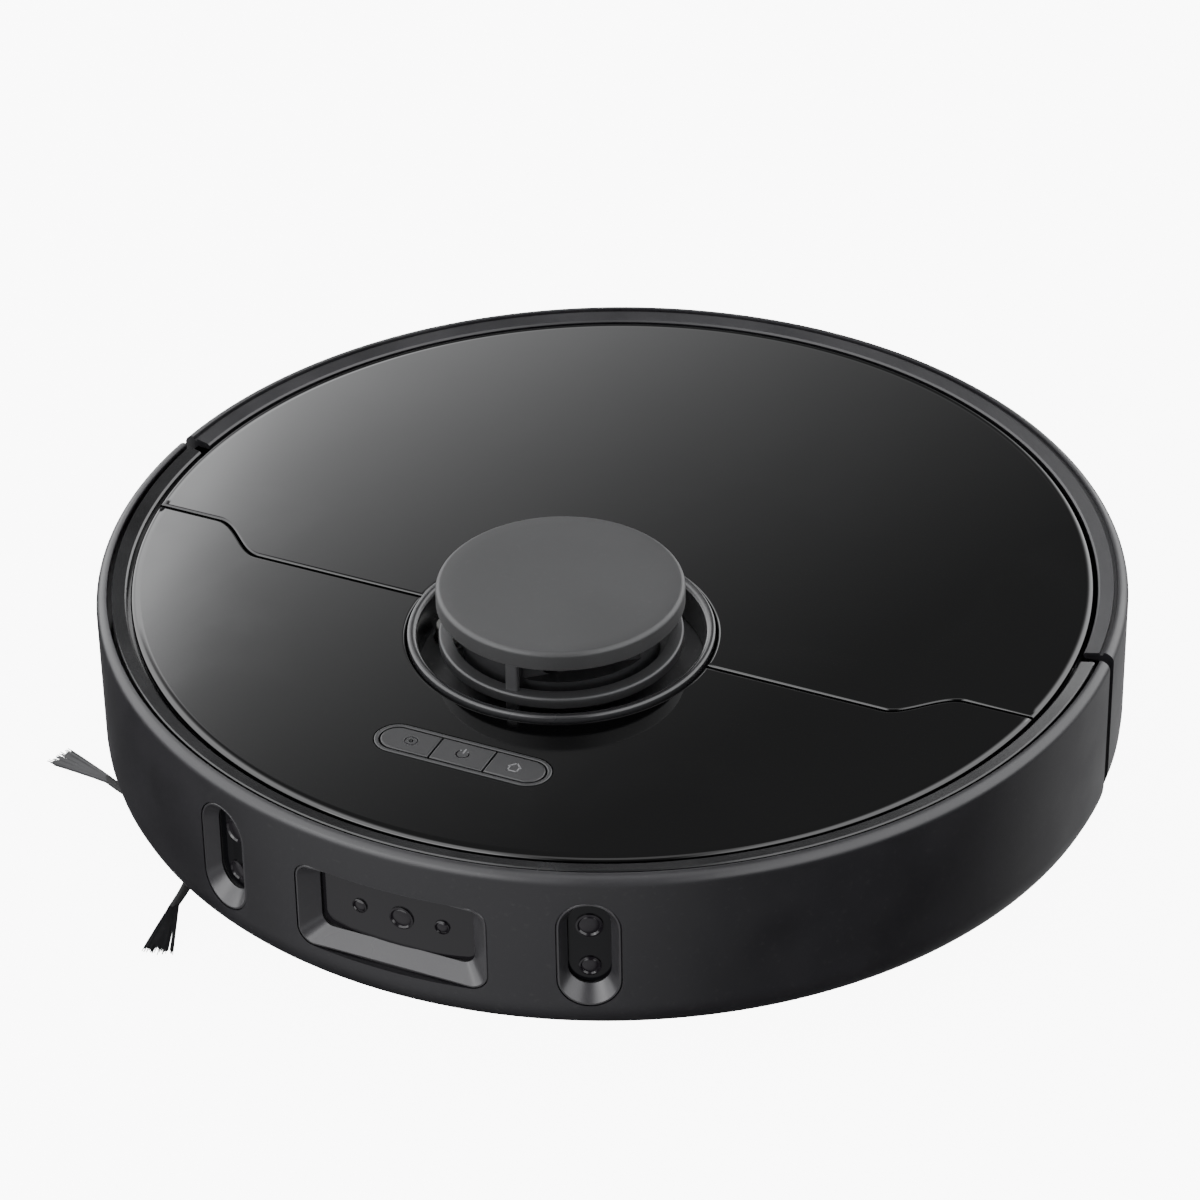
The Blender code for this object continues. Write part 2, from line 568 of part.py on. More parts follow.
def make_turret_cap():
    """Cap that sinks a little when something presses on it."""
    skirt = CAP_RADIUS - CAP_WALL
    outline = [
        (0, TOTAL_HEIGHT - 0.0022), (skirt, TOTAL_HEIGHT - 0.0022), (skirt, CAP_BOTTOM), (CAP_RADIUS, CAP_BOTTOM),
        (CAP_RADIUS, TOTAL_HEIGHT - 0.0020), (CAP_RADIUS - 0.0006, TOTAL_HEIGHT - 0.0006),
        (CAP_RADIUS - 0.0020, TOTAL_HEIGHT), (0, TOTAL_HEIGHT),
    ]
    cap = finish("turret_cap", at(lathe(outline, 60), TURRET), CAP_GREY)
    return set_origin(cap, TURRET + Vector((0, 0, CAP_BOTTOM)))


def make_lidar():
    """Spinning laser head on the deck's spindle, driven by a belt from its motor."""
    low, high = BELT_LOW - 0.001, BELT_LOW + BELT_WIDTH + 0.001
    groove = PULLEY_RADIUS
    bore = SPINDLE + 0.0005
    top = CAP_BOTTOM - 0.0020
    outline = [
        (bore, low), (groove + 0.0012, low), (groove + 0.0012, BELT_LOW - 0.0003), (groove, BELT_LOW - 0.0003),
        (groove, BELT_LOW + BELT_WIDTH + 0.0003), (groove + 0.0012, BELT_LOW + BELT_WIDTH + 0.0003),
        (groove + 0.0012, high), (0.024, high), (0.024, high + 0.0016), (HEAD_RADIUS, high + 0.0016),
        (HEAD_RADIUS, top - 0.001), (HEAD_RADIUS - 0.001, top), (0, top),
        (0, CAGE_HIGH + 0.0048), (bore, CAGE_HIGH + 0.0048),
    ]
    head = finish("lidar_head", at(lathe(outline, 40), TURRET), LIDAR_BLACK)
    face = block((0.026, -0.020, CAGE_HIGH + 0.0012), (0.040, 0.020, top - 0.0012))
    lens = [along_x(drum(0.0042, 0.016, 0.040, sides=20), y, (CAGE_HIGH + top) / 2 + 0.0005) for y in (-0.010, 0.009)]
    tool = merged(face, *lens)
    bmesh.ops.rotate(tool, verts=tool.verts, matrix=Matrix.Rotation(math.radians(FRONT + 40), 3, "Z"))
    boolean(head, at(tool, TURRET))
    set_origin(head, TURRET + Vector((0, 0, BELT_LOW)))

    small = MOTOR_PULLEY_RADIUS
    outline = [
        (0, low), (small + 0.0010, low), (small + 0.0010, BELT_LOW - 0.0003), (small, BELT_LOW - 0.0003),
        (small, BELT_LOW + BELT_WIDTH + 0.0003), (small + 0.0010, BELT_LOW + BELT_WIDTH + 0.0003),
        (small + 0.0010, high), (0, high),
    ]
    axis = TURRET + Vector((-MOTOR_REACH, 0, BELT_LOW))
    pulley = finish("motor_pulley", at(lathe(outline, SMALL_ROUND), axis), NYLON)
    boolean(pulley, at(drum(0.0012, low - 0.0060, low + 0.001), axis), "UNION")
    set_origin(pulley, axis)
    slack = 0.0003
    inside = hull_outline((0, 0), groove + slack, (-MOTOR_REACH, 0), small + slack, 14)
    outside = hull_outline((0, 0), groove + slack + BELT_THICK, (-MOTOR_REACH, 0), small + slack + BELT_THICK, 14)
    belt = finish("lidar_belt", at(prism(outside, BELT_LOW, BELT_LOW + BELT_WIDTH), TURRET), RUBBER)
    boolean(belt, at(prism(inside, BELT_LOW - 0.001, BELT_LOW + BELT_WIDTH + 0.001), TURRET))
    motor_top = min(DECK_LOW - GAP, low - 0.0064)
    outline = [(0, DECK_LOW - 0.020), (0.0088, DECK_LOW - 0.020), (0.0088, motor_top), (0, motor_top)]
    finish("lidar_motor", at(lathe(outline, 32), axis), STEEL)


# ---- buttons -------------------------------------------------------------------------
def make_buttons():
    """Pill-shaped bezel in the front glass with three keys that click."""
    flange = GLASS_BOTTOM - GAP
    bezel = finish("button_bezel", prism(stadium(PILL_LENGTH, PILL_WIDTH, 10, (0, PILL_Y)), flange - 0.004,
                                         GLASS_TOP + 0.0002), BEZEL_GREY)
    outline = stadium(PILL_LENGTH + 0.006, PILL_WIDTH + 0.006, 10, (0, PILL_Y))
    boolean(bezel, prism(outline, flange - 0.0020, flange - 0.0002), "UNION")
    inner_length, inner_width = PILL_LENGTH - 2 * PILL_FRAME, PILL_WIDTH - 2 * PILL_FRAME
    well = prism(stadium(inner_length, inner_width, 10, (0, PILL_Y)), flange - 0.0024, GLASS_TOP + 0.004)
    boolean(bezel, well)
    low, high = flange - 0.0024 + KEY_TRAVEL + 0.0003, GLASS_TOP + 0.0003
    end, width = inner_length / 2 - KEY_GAP, inner_width - 2 * KEY_GAP
    split = end / 3
    radius = width / 2
    shapes = {
        "key_home": arc(radius, -90, 90, 10, (end - radius, PILL_Y))
        + [(split + KEY_GAP / 2, PILL_Y + radius), (split + KEY_GAP / 2, PILL_Y - radius)],
        "key_power": [(-split + KEY_GAP / 2, PILL_Y - radius), (split - KEY_GAP / 2, PILL_Y - radius),
                      (split - KEY_GAP / 2, PILL_Y + radius), (-split + KEY_GAP / 2, PILL_Y + radius)],
        "key_spot": arc(radius, 90, 270, 10, (-end + radius, PILL_Y))
        + [(-split - KEY_GAP / 2, PILL_Y - radius), (-split - KEY_GAP / 2, PILL_Y + radius)],
    }
    for name, outline in shapes.items():
        key = finish(name, prism(outline, low, high), KEY_GREY)
        middle = sum(x for x, y in outline) / len(outline)
        set_origin(key, (middle, PILL_Y, high))
    button = at(drum(RESET_RADIUS, DECK_LOW - 0.002, DECK_TOP + 0.0015), RESET)
    reset = finish("reset_button", button, KEY_GREY)
    set_origin(reset, RESET + Vector((0, 0, DECK_TOP)))


# ---- running gear --------------------------------------------------------------------
def make_wheel(side, name):
    """Swinging gearbox arm, wheel hub and treaded tyre of one side."""
    axle = Vector((0, 0, WHEEL_RADIUS))
    outline = hull_outline(axle.yz, 0.016, ARM_PIVOT.yz, 0.0085)
    arm = prism([(-z, y) for y, z in outline], ARM_INNER, ARM_OUTER)
    arm = finish(f"wheel_arm_{name}", mirrored(along_x(arm, 0, 0), side), GEARBOX_GREY)
    pins = [
        along_x(drum(PIN_RADIUS, ARM_INNER - LUG_WIDTH, ARM_OUTER + LUG_WIDTH), *ARM_PIVOT.yz),
        along_x(drum(0.0040, ARM_OUTER - 0.001, WHEEL_X + WHEEL_WIDTH / 2 - 0.005), *axle.yz),
    ]
    boolean(arm, mirrored(merged(*pins), side), "UNION")
    pivot = Vector((side * (ARM_INNER + ARM_OUTER) / 2, ARM_PIVOT.y, ARM_PIVOT.z))
    set_origin(arm, pivot)

    inner, outer = WHEEL_X - WHEEL_WIDTH / 2, WHEEL_X + WHEEL_WIDTH / 2
    bore = 0.0045
    profile = [
        (bore, inner), (HUB_RADIUS, inner), (HUB_RADIUS, outer), (HUB_RADIUS - 0.003, outer),
        (HUB_RADIUS - 0.004, outer - 0.004), (0.010, outer - 0.004), (0.009, outer - 0.001),
        (0, outer - 0.001), (0, outer - 0.0046), (bore, outer - 0.0046),
    ]
    hub = finish(f"wheel_hub_{name}", mirrored(along_x(lathe(profile, 36), *axle.yz), side), PLASTIC)
    slots = []
    for i in range(6):
        slot = moved(drum(0.0030, outer - 0.012, outer + 0.004, sides=12), 0.0145)
        bmesh.ops.rotate(slot, verts=slot.verts, matrix=Matrix.Rotation(math.radians(60 * i), 3, "Z"))
        slots.append(slot)
    boolean(hub, mirrored(along_x(merged(*slots), *axle.yz), side))
    centre = Vector((side * WHEEL_X, 0, WHEEL_RADIUS))
    set_origin(hub, centre, arm)

    tread, lugs = 0.0018, 24
    base = WHEEL_RADIUS - tread
    bm = bmesh.new()
    rings = []
    for i in range(lugs * 4):
        raised = i % 4 < 2
        angle = math.radians(360 * i / (lugs * 4))
        radius = WHEEL_RADIUS if raised else base
        c, s = math.cos(angle), math.sin(angle)
        profile = [(HUB_RADIUS + GAP, inner + 0.0006), (radius, inner + 0.0006), (radius, outer - 0.0006),
                   (HUB_RADIUS + GAP, outer - 0.0006)]
        rings.append([bm.verts.new((r * c, r * s, x)) for r, x in profile])
    for i, near in enumerate(rings):
        far = rings[(i + 1) % len(rings)]
        for k in range(4):
            bm.faces.new((near[k], near[(k + 1) % 4], far[(k + 1) % 4], far[k]))
    tyre = finish(f"tyre_{name}", mirrored(along_x(bm, *axle.yz), side), RUBBER)
    set_origin(tyre, centre, arm)


def make_caster():
    """Swivelling front wheel: socket in the case, turning fork and small wheel."""
    outer = CASTER_RADIUS + 0.0045 - GAP
    bore = CASTER_RADIUS + 0.0006
    outline = [
        (bore, UNDERSIDE + 0.0004), (outer, UNDERSIDE + 0.0004), (outer, CASTER_ROOF), (0.0040, CASTER_ROOF),
        (0.0040, CASTER_ROOF - 0.002), (bore, CASTER_ROOF - 0.002),
    ]
    finish("caster_socket", at(lathe(outline, 32), CASTER), PLASTIC)
    low, high = 0.0095, CASTER_ROOF - 0.0026
    outline = [(0, low), (CASTER_RADIUS, low), (CASTER_RADIUS, high - 0.002), (CASTER_RADIUS - 0.002, high),
               (0.0036, high), (0.0036, CASTER_ROOF + 0.001), (0, CASTER_ROOF + 0.001)]
    fork = finish("caster_fork", at(lathe(outline, 32), CASTER), PLASTIC)
    axle = CASTER + Vector((0, CASTER_TRAIL, CASTER_WHEEL_RADIUS))
    reach = CASTER_WHEEL_RADIUS + 0.0010
    slot = block((-0.0070, axle.y - reach, 0.004), (0.0070, axle.y + reach, axle.z + reach))
    bore = along_x(drum(0.0024, -0.0105, 0.0105), axle.y, axle.z)
    groove = block((-0.0105, axle.y - 0.0024, 0.004), (0.0105, axle.y + 0.0024, axle.z))
    boolean(fork, merged(slot, bore, groove))
    set_origin(fork, CASTER + Vector((0, 0, low)))
    profile = [
        (0, -0.0100), (0.0020, -0.0100), (0.0020, -0.0062), (CASTER_WHEEL_RADIUS - 0.0015, -0.0062),
        (CASTER_WHEEL_RADIUS, -0.0045), (CASTER_WHEEL_RADIUS, 0.0045), (CASTER_WHEEL_RADIUS - 0.0015, 0.0062),
        (0.0020, 0.0062), (0.0020, 0.0100), (0, 0.0100),
    ]
    wheel = finish("caster_wheel", along_x(lathe(profile, 24), axle.y, axle.z), NYLON)
    set_origin(wheel, axle, fork)


# ---- brushes -------------------------------------------------------------------------
def make_roller():
    """Main brush: six twisted blades on a core, notched where the guard's bars pass."""
    fins, steps_per_fin = 6, 6
    count = fins * steps_per_fin
    stations = []
    edges = [-BLADE_HALF]
    for bar in GUARD_BARS:
        edges += [bar - BAR_NOTCH / 2, bar + BAR_NOTCH / 2]
    edges.append(BLADE_HALF)
    stations += [(-ROLLER_HALF, False)]
    for start, end in zip(edges[::2], edges[1::2]):
        pieces = max(2, round((end - start) / 0.010))
        stations.append((start - 0.0001, False))
        stations += [(start + (end - start) * i / pieces, True) for i in range(pieces + 1)]
        stations.append((end + 0.0001, False))
    stations += [(ROLLER_HALF, False)]
    bm = bmesh.new()
    rings = []
    for x, bladed in stations:
        twist = abs(x) * 4.0
        ring = []
        for i in range(count):
            tip = i % steps_per_fin in (0, 1)
            radius = ROLLER_BLADE if bladed and tip else ROLLER_CORE
            angle = 2 * math.pi * (i // steps_per_fin) / fins
            spread = (-0.07, 0.07, 0.18, 0.40, 0.65, 0.87)[i % steps_per_fin]
            if bladed and tip:
                spread *= 0.7
            turn = angle + spread + twist / 0.2
            ring.append(bm.verts.new((x, radius * math.cos(turn), radius * math.sin(turn))))
        rings.append(ring)
    for near, far in zip(rings, rings[1:]):
        for i in range(count):
            after = (i + 1) % count
            bm.faces.new((near[i], near[after], far[after], far[i]))
    bm.faces.new(list(reversed(rings[0])))
    bm.faces.new(rings[-1])
    roller = finish("main_brush", moved(bm, 0, ROLLER_Y, ROLLER_Z), BRUSH_RUBBER)
    set_origin(roller, (0, ROLLER_Y, ROLLER_Z))


def make_brush_unit():
    """Tunnel round the main brush, its end bearings, motor, gear cover and hinged guard."""
    deep = TUNNEL_DEPTH / 2
    low = (-TUNNEL_HALF, ROLLER_Y - deep, UNDERSIDE + GAP)
    tunnel = finish("brush_tunnel", block(low, (TUNNEL_HALF, ROLLER_Y + deep, TUNNEL_TOP)), PLASTIC)
    half = TUNNEL_HALF - 0.002
    cavity = along_x(drum(TUNNEL_RADIUS, -half, half, sides=40), ROLLER_Y, ROLLER_Z)
    mouth = block((-half, ROLLER_Y - TUNNEL_RADIUS + 0.002, 0), (half, ROLLER_Y + TUNNEL_RADIUS - 0.002, ROLLER_Z))
    duct = block((-0.058, ROLLER_Y + 0.010, 0.026), (0.058, ROLLER_Y + 0.040, 0.042))
    boolean(tunnel, merged(cavity, mouth, duct))
    for side, name in ((1, "left"), (-1, "right")):
        bearing = along_x(drum(0.0115, ROLLER_HALF + GAP, half - GAP, sides=32), ROLLER_Y, ROLLER_Z)
        finish(f"brush_bearing_{name}", mirrored(bearing, side), NYLON)
    motor = along_x(drum(0.0135, 0.026, 0.080, sides=32), -0.022, 0.0275)
    finish("brush_motor", motor, STEEL)
    outline = hull_outline((ROLLER_Y - 0.006, 0.030), 0.013, (-0.022, 0.0275), 0.012)
    cover = along_x(prism([(-z, y) for y, z in outline], TUNNEL_HALF + GAP, ARM_INNER - LUG_WIDTH - 2 * GAP), 0, 0)
    cover = finish("brush_gear_cover", cover, GEARBOX_GREY)
    stub = along_x(drum(0.0060, 0.0804, TUNNEL_HALF + 0.001, sides=24), -0.022, 0.0275)
    boolean(cover, stub, "UNION")

    wide, front, back = 0.084, ROLLER_Y - deep + 0.001, ROLLER_Y + deep - 0.001
    guard = finish("brush_guard", prism(rounded(2 * wide, back - front, 0.006, centre=(0, (front + back) / 2)),
                                        GUARD_LOW, GUARD_HIGH), GUARD_GREY)
    opening = rounded(2 * BLADE_HALF + 0.006, 0.037, 0.003, centre=(0, ROLLER_Y))
    boolean(guard, prism(outline=opening, low=GUARD_LOW - 0.002, high=GUARD_HIGH + 0.002))
    bars = [block((x - BAR_WIDTH / 2, ROLLER_Y - 0.0195, GUARD_LOW), (x + BAR_WIDTH / 2, ROLLER_Y + 0.0195, 0.0076))
            for x in GUARD_BARS]
    boolean(guard, merged(*bars), "UNION")
    clips = [plate_box((side * 0.055, front + 0.004), (0.018, 0.005), GUARD_LOW - 0.0008, GUARD_LOW + 0.001)
             for side in (1, -1)]
    boolean(guard, merged(*clips), "UNION")
    set_origin(guard, (0, back - 0.0016, (GUARD_LOW + GUARD_HIGH) / 2))


def make_side_brush():
    """Three-armed brush below the front right corner, and the gearbox above it."""
    hub = lathe([(0, 0.0030), (SIDE_HUB - 0.003, 0.0030), (SIDE_HUB, 0.0052), (SIDE_HUB, UNDERSIDE - GAP),
                 (PIN_RADIUS, UNDERSIDE - GAP), (PIN_RADIUS, FLOOR + 0.0058), (0, FLOOR + 0.0058)], 32)
    brush = finish("side_brush", at(hub, SIDE_BRUSH), BRISTLE)
    arms = []
    for angle in SIDE_ARM_ANGLES:
        outline = [(0.0085, -0.0024), (0.036, -0.0018), (0.046, -0.0024), (SIDE_REACH - 0.002, -0.0052),
                   (SIDE_REACH, 0.0), (SIDE_REACH - 0.002, 0.0052), (0.046, 0.0024), (0.036, 0.0018),
                   (0.0085, 0.0024)]
        arm = prism(outline, 0.0042, 0.0064)
        for vert in arm.verts:
            drop = max(0.0, vert.co.x - 0.010) / (SIDE_REACH - 0.010)
            vert.co.z -= 0.0034 * drop
        bmesh.ops.rotate(arm, verts=arm.verts, matrix=Matrix.Rotation(math.radians(angle), 3, "Z"))
        arms.append(at(arm, SIDE_BRUSH))
    boolean(brush, merged(*arms), "UNION")
    set_origin(brush, SIDE_BRUSH + Vector((0, 0, UNDERSIDE)))
    inward = SIDE_BRUSH * 0.86
    box = hull_outline(inward.xy, 0.016, SIDE_BRUSH.xy, 0.0122, 8)
    soften(finish("side_gearbox", prism(box, FLOOR + 0.0062, 0.038), GEARBOX_GREY), 0.0012)


# ---- things inside -------------------------------------------------------------------
BOARD_Z = 0.0500


def board_posts():
    """Posts that hold the main board above the battery."""
    return [(side * (BATTERY_HALF + 0.005), y) for side in (1, -1) for y in (BATTERY_FRONT + 0.004, BATTERY_BACK - 0.004)]


def make_dust_bin():
    """Bin with a mouth toward the brush and a filtered outlet toward the fan; cover and handle."""
    body = finish("bin_body", prism(bin_outline(), BIN_LOW, BIN_HIGH), BIN_CLEAR_GREY)
    inner = prism(bin_outline(-BIN_WALL), BIN_LOW + BIN_WALL, BIN_HIGH + 0.004)
    mouth = block((-0.058, BIN_FRONT - 0.003, 0.026), (0.058, BIN_FRONT + 0.004, 0.042))
    outlet = block((BIN_HALF - 0.004, 0.078, 0.020), (BIN_HALF + 0.004, 0.098, 0.046))
    boolean(body, merged(inner, mouth, outlet))
    cover = finish("bin_cover", prism(bin_outline(), BIN_HIGH + GAP, BIN_HIGH + 0.0036), BIN_COVER)
    grip = prism(rounded(0.070, 0.036, 0.006, centre=(0, 0.101)), BIN_HIGH + 0.0016, BIN_HIGH + 0.006)
    boolean(cover, grip)
    handle = block((-0.034, 0.0960, BIN_HIGH + 0.0016 + GAP), (0.034, 0.1060, 0.0705))
    handle = finish("bin_handle", handle, GUARD_GREY)
    boolean(handle, block((-0.026, 0.0900, BIN_HIGH - 0.001), (0.026, 0.1100, 0.0675)))
    soften(handle, 0.0008)
    x = BIN_HALF - BIN_WALL - GAP
    filt = finish("bin_filter", block((x - 0.010, 0.0758, 0.0155), (x, 0.1132, 0.051)), FILTER_WHITE)
    pleats = []
    for i in range(8):
        y = 0.0785 + i * 0.0042
        pleats.append(block((x - 0.012, y, 0.019), (x - 0.003, y + 0.0022, 0.048)))
    boolean(filt, merged(*pleats))


def make_fan():
    """Suction fan beside the bin: housing with an inlet and an outlet, and the spinning impeller."""
    wall = 0.002
    housing = finish("fan_housing", at(drum(FAN_RADIUS, FAN_LOW, FAN_HIGH, sides=40), FAN), PLASTIC_GREY)
    inlet_x = FAN.x - FAN_RADIUS - 0.0045
    boolean(housing, block((inlet_x, 0.076, 0.0185), (FAN.x - FAN_RADIUS + 0.004, 0.096, 0.048)), "UNION")
    cavity = at(drum(FAN_RADIUS - wall, FAN_LOW + wall, FAN_HIGH - wall, sides=40), FAN)
    inlet = block((inlet_x - 0.003, 0.078, 0.0205), (FAN.x - FAN_RADIUS + 0.006, 0.094, 0.046))
    outlet = block((FAN.x - 0.008, FAN.y + FAN_RADIUS - 0.006, 0.034), (FAN.x + 0.008, FAN.y + FAN_RADIUS + 0.004, 0.046))
    shaft = at(drum(0.0026, FAN_LOW - 0.001, FAN_LOW + wall + 0.001), FAN)
    boolean(housing, merged(cavity, inlet, outlet, shaft))
    low = FAN_LOW + wall + 0.0020
    impeller = at(lathe([(0, low - 0.0028), (0.0021, low - 0.0028), (0.0021, low), (0.0205, low), (0.0205, low + 0.0015),
                         (0.006, low + 0.0015), (0.006, low + 0.012), (0, low + 0.014)], 40), FAN)
    impeller = finish("fan_impeller", impeller, PLASTIC_GREY)
    vanes = []
    for i in range(9):
        vane = block((0.0050, -0.0006, low + 0.0010), (0.0200, 0.0006, low + 0.0115))
        bmesh.ops.rotate(vane, verts=vane.verts, cent=(0.0050, 0, 0), matrix=Matrix.Rotation(math.radians(24), 3, "Z"))
        bmesh.ops.rotate(vane, verts=vane.verts, matrix=Matrix.Rotation(math.radians(40 * i), 3, "Z"))
        vanes.append(vane)
    boolean(impeller, at(merged(*vanes), FAN), "UNION")
    set_origin(impeller, FAN + Vector((0, 0, low)))


def make_electrics():
    """Battery, main board, charging contacts and downward sensors."""
    low = (-BATTERY_HALF, BATTERY_FRONT, FLOOR + GAP)
    battery = finish("battery", block(low, (BATTERY_HALF, BATTERY_BACK, BATTERY_HIGH)), BATTERY_BLUE)
    soften(battery, 0.0020)
    half = BATTERY_HALF + 0.009
    board = block((-half, BATTERY_FRONT - 0.002, BOARD_Z), (half, BATTERY_BACK + 0.002, BOARD_Z + 0.0016))
    board = finish("main_board", board, BOARD_GREEN)
    chips = []
    for x, y, w, d, h in ((-0.040, -0.072, 0.016, 0.016, 0.0022), (0.010, -0.074, 0.012, 0.012, 0.0018),
                          (0.045, -0.070, 0.010, 0.018, 0.0060), (-0.008, -0.060, 0.020, 0.006, 0.0050)):
        chips.append(block((x - w / 2, y - d / 2, BOARD_Z + 0.001), (x + w / 2, y + d / 2, BOARD_Z + 0.0016 + h)))
    boolean(board, merged(*chips), "UNION")
    for (x, y), name in zip(contact_places(), ("left", "right")):
        pad = plate_box((x, y), CONTACT_SIZE, UNDERSIDE - 0.0012, FLOOR + 0.0006, -GAP)
        soften(finish(f"charging_contact_{name}", pad, CONTACT_METAL), 0.0008)
    names = ("right_side", "right_front", "left_front", "left_side")
    for place, name in zip(cliff_places(), names):
        window = plate_box(place, CLIFF_SIZE, UNDERSIDE + 0.0002, FLOOR + 0.0006, -GAP)
        finish(f"cliff_sensor_{name}", window, WINDOW_DARK)


for old in list(bpy.data.objects):
    bpy.data.objects.remove(old, do_unlink=True)

SHELL = material("shell_dark_grey", (0.055, 0.053, 0.056), 0.42)
GLOSS = material("gloss_black", (0.012, 0.012, 0.013), 0.06)
SATIN = material("satin_ring_grey", (0.10, 0.10, 0.105), 0.30)
CAP_GREY = material("turret_cap_grey", (0.14, 0.14, 0.143), 0.45)
LIDAR_BLACK = material("lidar_black", (0.015, 0.015, 0.016), 0.40)
WINDOW_TINT = material("tinted_window", (0.030, 0.020, 0.024), 0.08)
WINDOW_DARK = material("dark_window", (0.008, 0.008, 0.010), 0.10)
BEZEL_GREY = material("bezel_grey", (0.060, 0.060, 0.062), 0.35)
KEY_GREY = material("key_grey", (0.075, 0.075, 0.077), 0.40)
PLASTIC = material("black_plastic", (0.022, 0.022, 0.023), 0.50)
PLASTIC_GREY = material("grey_plastic", (0.09, 0.09, 0.095), 0.50)
GEARBOX_GREY = material("gearbox_grey", (0.16, 0.16, 0.165), 0.50)
GUARD_GREY = material("guard_grey", (0.050, 0.050, 0.054), 0.45)
RUBBER = material("rubber", (0.018, 0.018, 0.018), 0.80)
BRUSH_RUBBER = material("brush_rubber", (0.060, 0.060, 0.065), 0.70)
BRISTLE = material("bristle_black", (0.030, 0.030, 0.032), 0.60)
NYLON = material("white_nylon", (0.55, 0.55, 0.53), 0.45)
STEEL = material("steel", (0.55, 0.56, 0.58), 0.30, 1.0)
CONTACT_METAL = material("contact_metal", (0.72, 0.70, 0.66), 0.25, 1.0)
BIN_CLEAR_GREY = material("smoked_bin", (0.10, 0.10, 0.105), 0.25)
BIN_COVER = material("bin_cover", (0.035, 0.035, 0.037), 0.45)
FILTER_WHITE = material("filter_paper", (0.75, 0.74, 0.70), 0.85)
BATTERY_BLUE = material("battery_wrap", (0.045, 0.09, 0.20), 0.45)
BOARD_GREEN = material("circuit_board", (0.012, 0.075, 0.035), 0.45)

make_bottom_case()
make_rear_shell()
make_outlet_grille()
make_bumper()
make_front_rim()
make_inner_deck()
make_front_glass()
make_lid()
make_well_ring()
make_turret_cage()
make_turret_cap()
make_lidar()
make_buttons()
make_wheel(1, "left")
make_wheel(-1, "right")
make_caster()
make_roller()
make_brush_unit()
make_side_brush()
make_dust_bin()
make_fan()
make_electrics()
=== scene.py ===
# %% [markdown]
# # A robot vacuum with a laser turret
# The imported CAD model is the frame: each of its nodes already sits in its real place, in metres,
# with the origin on the floor under the body's axis, the front towards -Y and +Z up. Fine shells,
# glossy panels and bristles are built round it here, and each piece rides on one CAD body.

import math
import random

import bmesh
import bpy
from mathutils import Matrix, Vector


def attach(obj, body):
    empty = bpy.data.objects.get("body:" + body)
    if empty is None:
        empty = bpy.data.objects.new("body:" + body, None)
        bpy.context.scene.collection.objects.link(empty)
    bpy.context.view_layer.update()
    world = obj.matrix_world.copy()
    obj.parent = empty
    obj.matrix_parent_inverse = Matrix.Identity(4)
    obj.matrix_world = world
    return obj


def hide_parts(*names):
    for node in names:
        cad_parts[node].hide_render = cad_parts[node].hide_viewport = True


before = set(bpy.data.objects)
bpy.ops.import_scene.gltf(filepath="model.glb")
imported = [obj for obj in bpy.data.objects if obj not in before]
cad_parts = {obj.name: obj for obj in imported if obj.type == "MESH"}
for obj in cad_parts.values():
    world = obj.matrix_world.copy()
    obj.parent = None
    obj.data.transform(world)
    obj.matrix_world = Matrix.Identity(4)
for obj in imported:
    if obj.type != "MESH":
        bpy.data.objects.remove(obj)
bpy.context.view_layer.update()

# %% [markdown]
# ## Camera
# A long lens about 1.7 m away keeps the circles close to true ellipses. The camera looks at the body's
# axis, and a small shift and roll place the object in the picture without changing the view.

# %% Camera
AZIMUTH, ELEVATION, ROLL = 24.8, 34.65, 0.9
DISTANCE = 1.693
PIXELS, SENSOR = 1200, 36.0
FOCAL_PIXELS = 4926.8
AXIS_IN_IMAGE = (613.2, 646.7)
LOOK_AT = Vector((0, 0, 0.045))


def direction(azimuth, elevation):
    """Unit vector from the robot; azimuth 0 is in front of it and 90 on its left."""
    a, e = math.radians(azimuth), math.radians(elevation)
    return Vector((math.sin(a) * math.cos(e), -math.cos(a) * math.cos(e), math.sin(e)))


camera_data = bpy.data.cameras.new("camera")
camera_data.sensor_width = SENSOR
camera_data.lens = FOCAL_PIXELS / PIXELS * SENSOR
camera_data.shift_x = (PIXELS / 2 - AXIS_IN_IMAGE[0]) / PIXELS
camera_data.shift_y = (AXIS_IN_IMAGE[1] - PIXELS / 2) / PIXELS
camera = bpy.data.objects.new("camera", camera_data)
bpy.context.scene.collection.objects.link(camera)
bpy.context.scene.camera = camera
towards = direction(AZIMUTH, ELEVATION)
camera.location = LOOK_AT + towards * DISTANCE
aim = (-towards).to_track_quat("-Z", "Y").to_matrix() @ Matrix.Rotation(math.radians(-ROLL), 3, "Z")
camera.rotation_euler = aim.to_euler()
print("lens, mm:", round(camera_data.lens, 1))

# %% [markdown]
# ## Node trees by the line
# Shaders, the sky and Geometry Nodes are all node trees, so one helper makes any node: its inputs are
# given by name, with _ for a space, or as _0, _1 by position, and a value may be another node's output.


# %% One helper for every node
def add_node(tree, kind, settings=None, **inputs):
    made = tree.nodes.new(kind)
    for key, value in (settings or {}).items():
        setattr(made, key, value)
    for key, value in inputs.items():
        socket = made.inputs[int(key[1:])] if key[1:].isdigit() else made.inputs[key.replace("_", " ")]
        if isinstance(value, bpy.types.NodeSocket):
            tree.links.new(value, socket)
        else:
            socket.default_value = value
    return made


def sums(tree, operation, *values, kind="ShaderNodeMath"):
    """One maths node; gives its result socket."""
    slots = {f"_{i}": value for i, value in enumerate(values)}
    return add_node(tree, kind, {"operation": operation}, **slots).outputs[0]


def plain_material(name, colour, roughness):
    made = bpy.data.materials.new(name)
    made.use_nodes = True
    shader = made.node_tree.nodes["Principled BSDF"]
    shader.inputs["Base Color"].default_value = (*colour, 1)
    shader.inputs["Roughness"].default_value = roughness
    return made


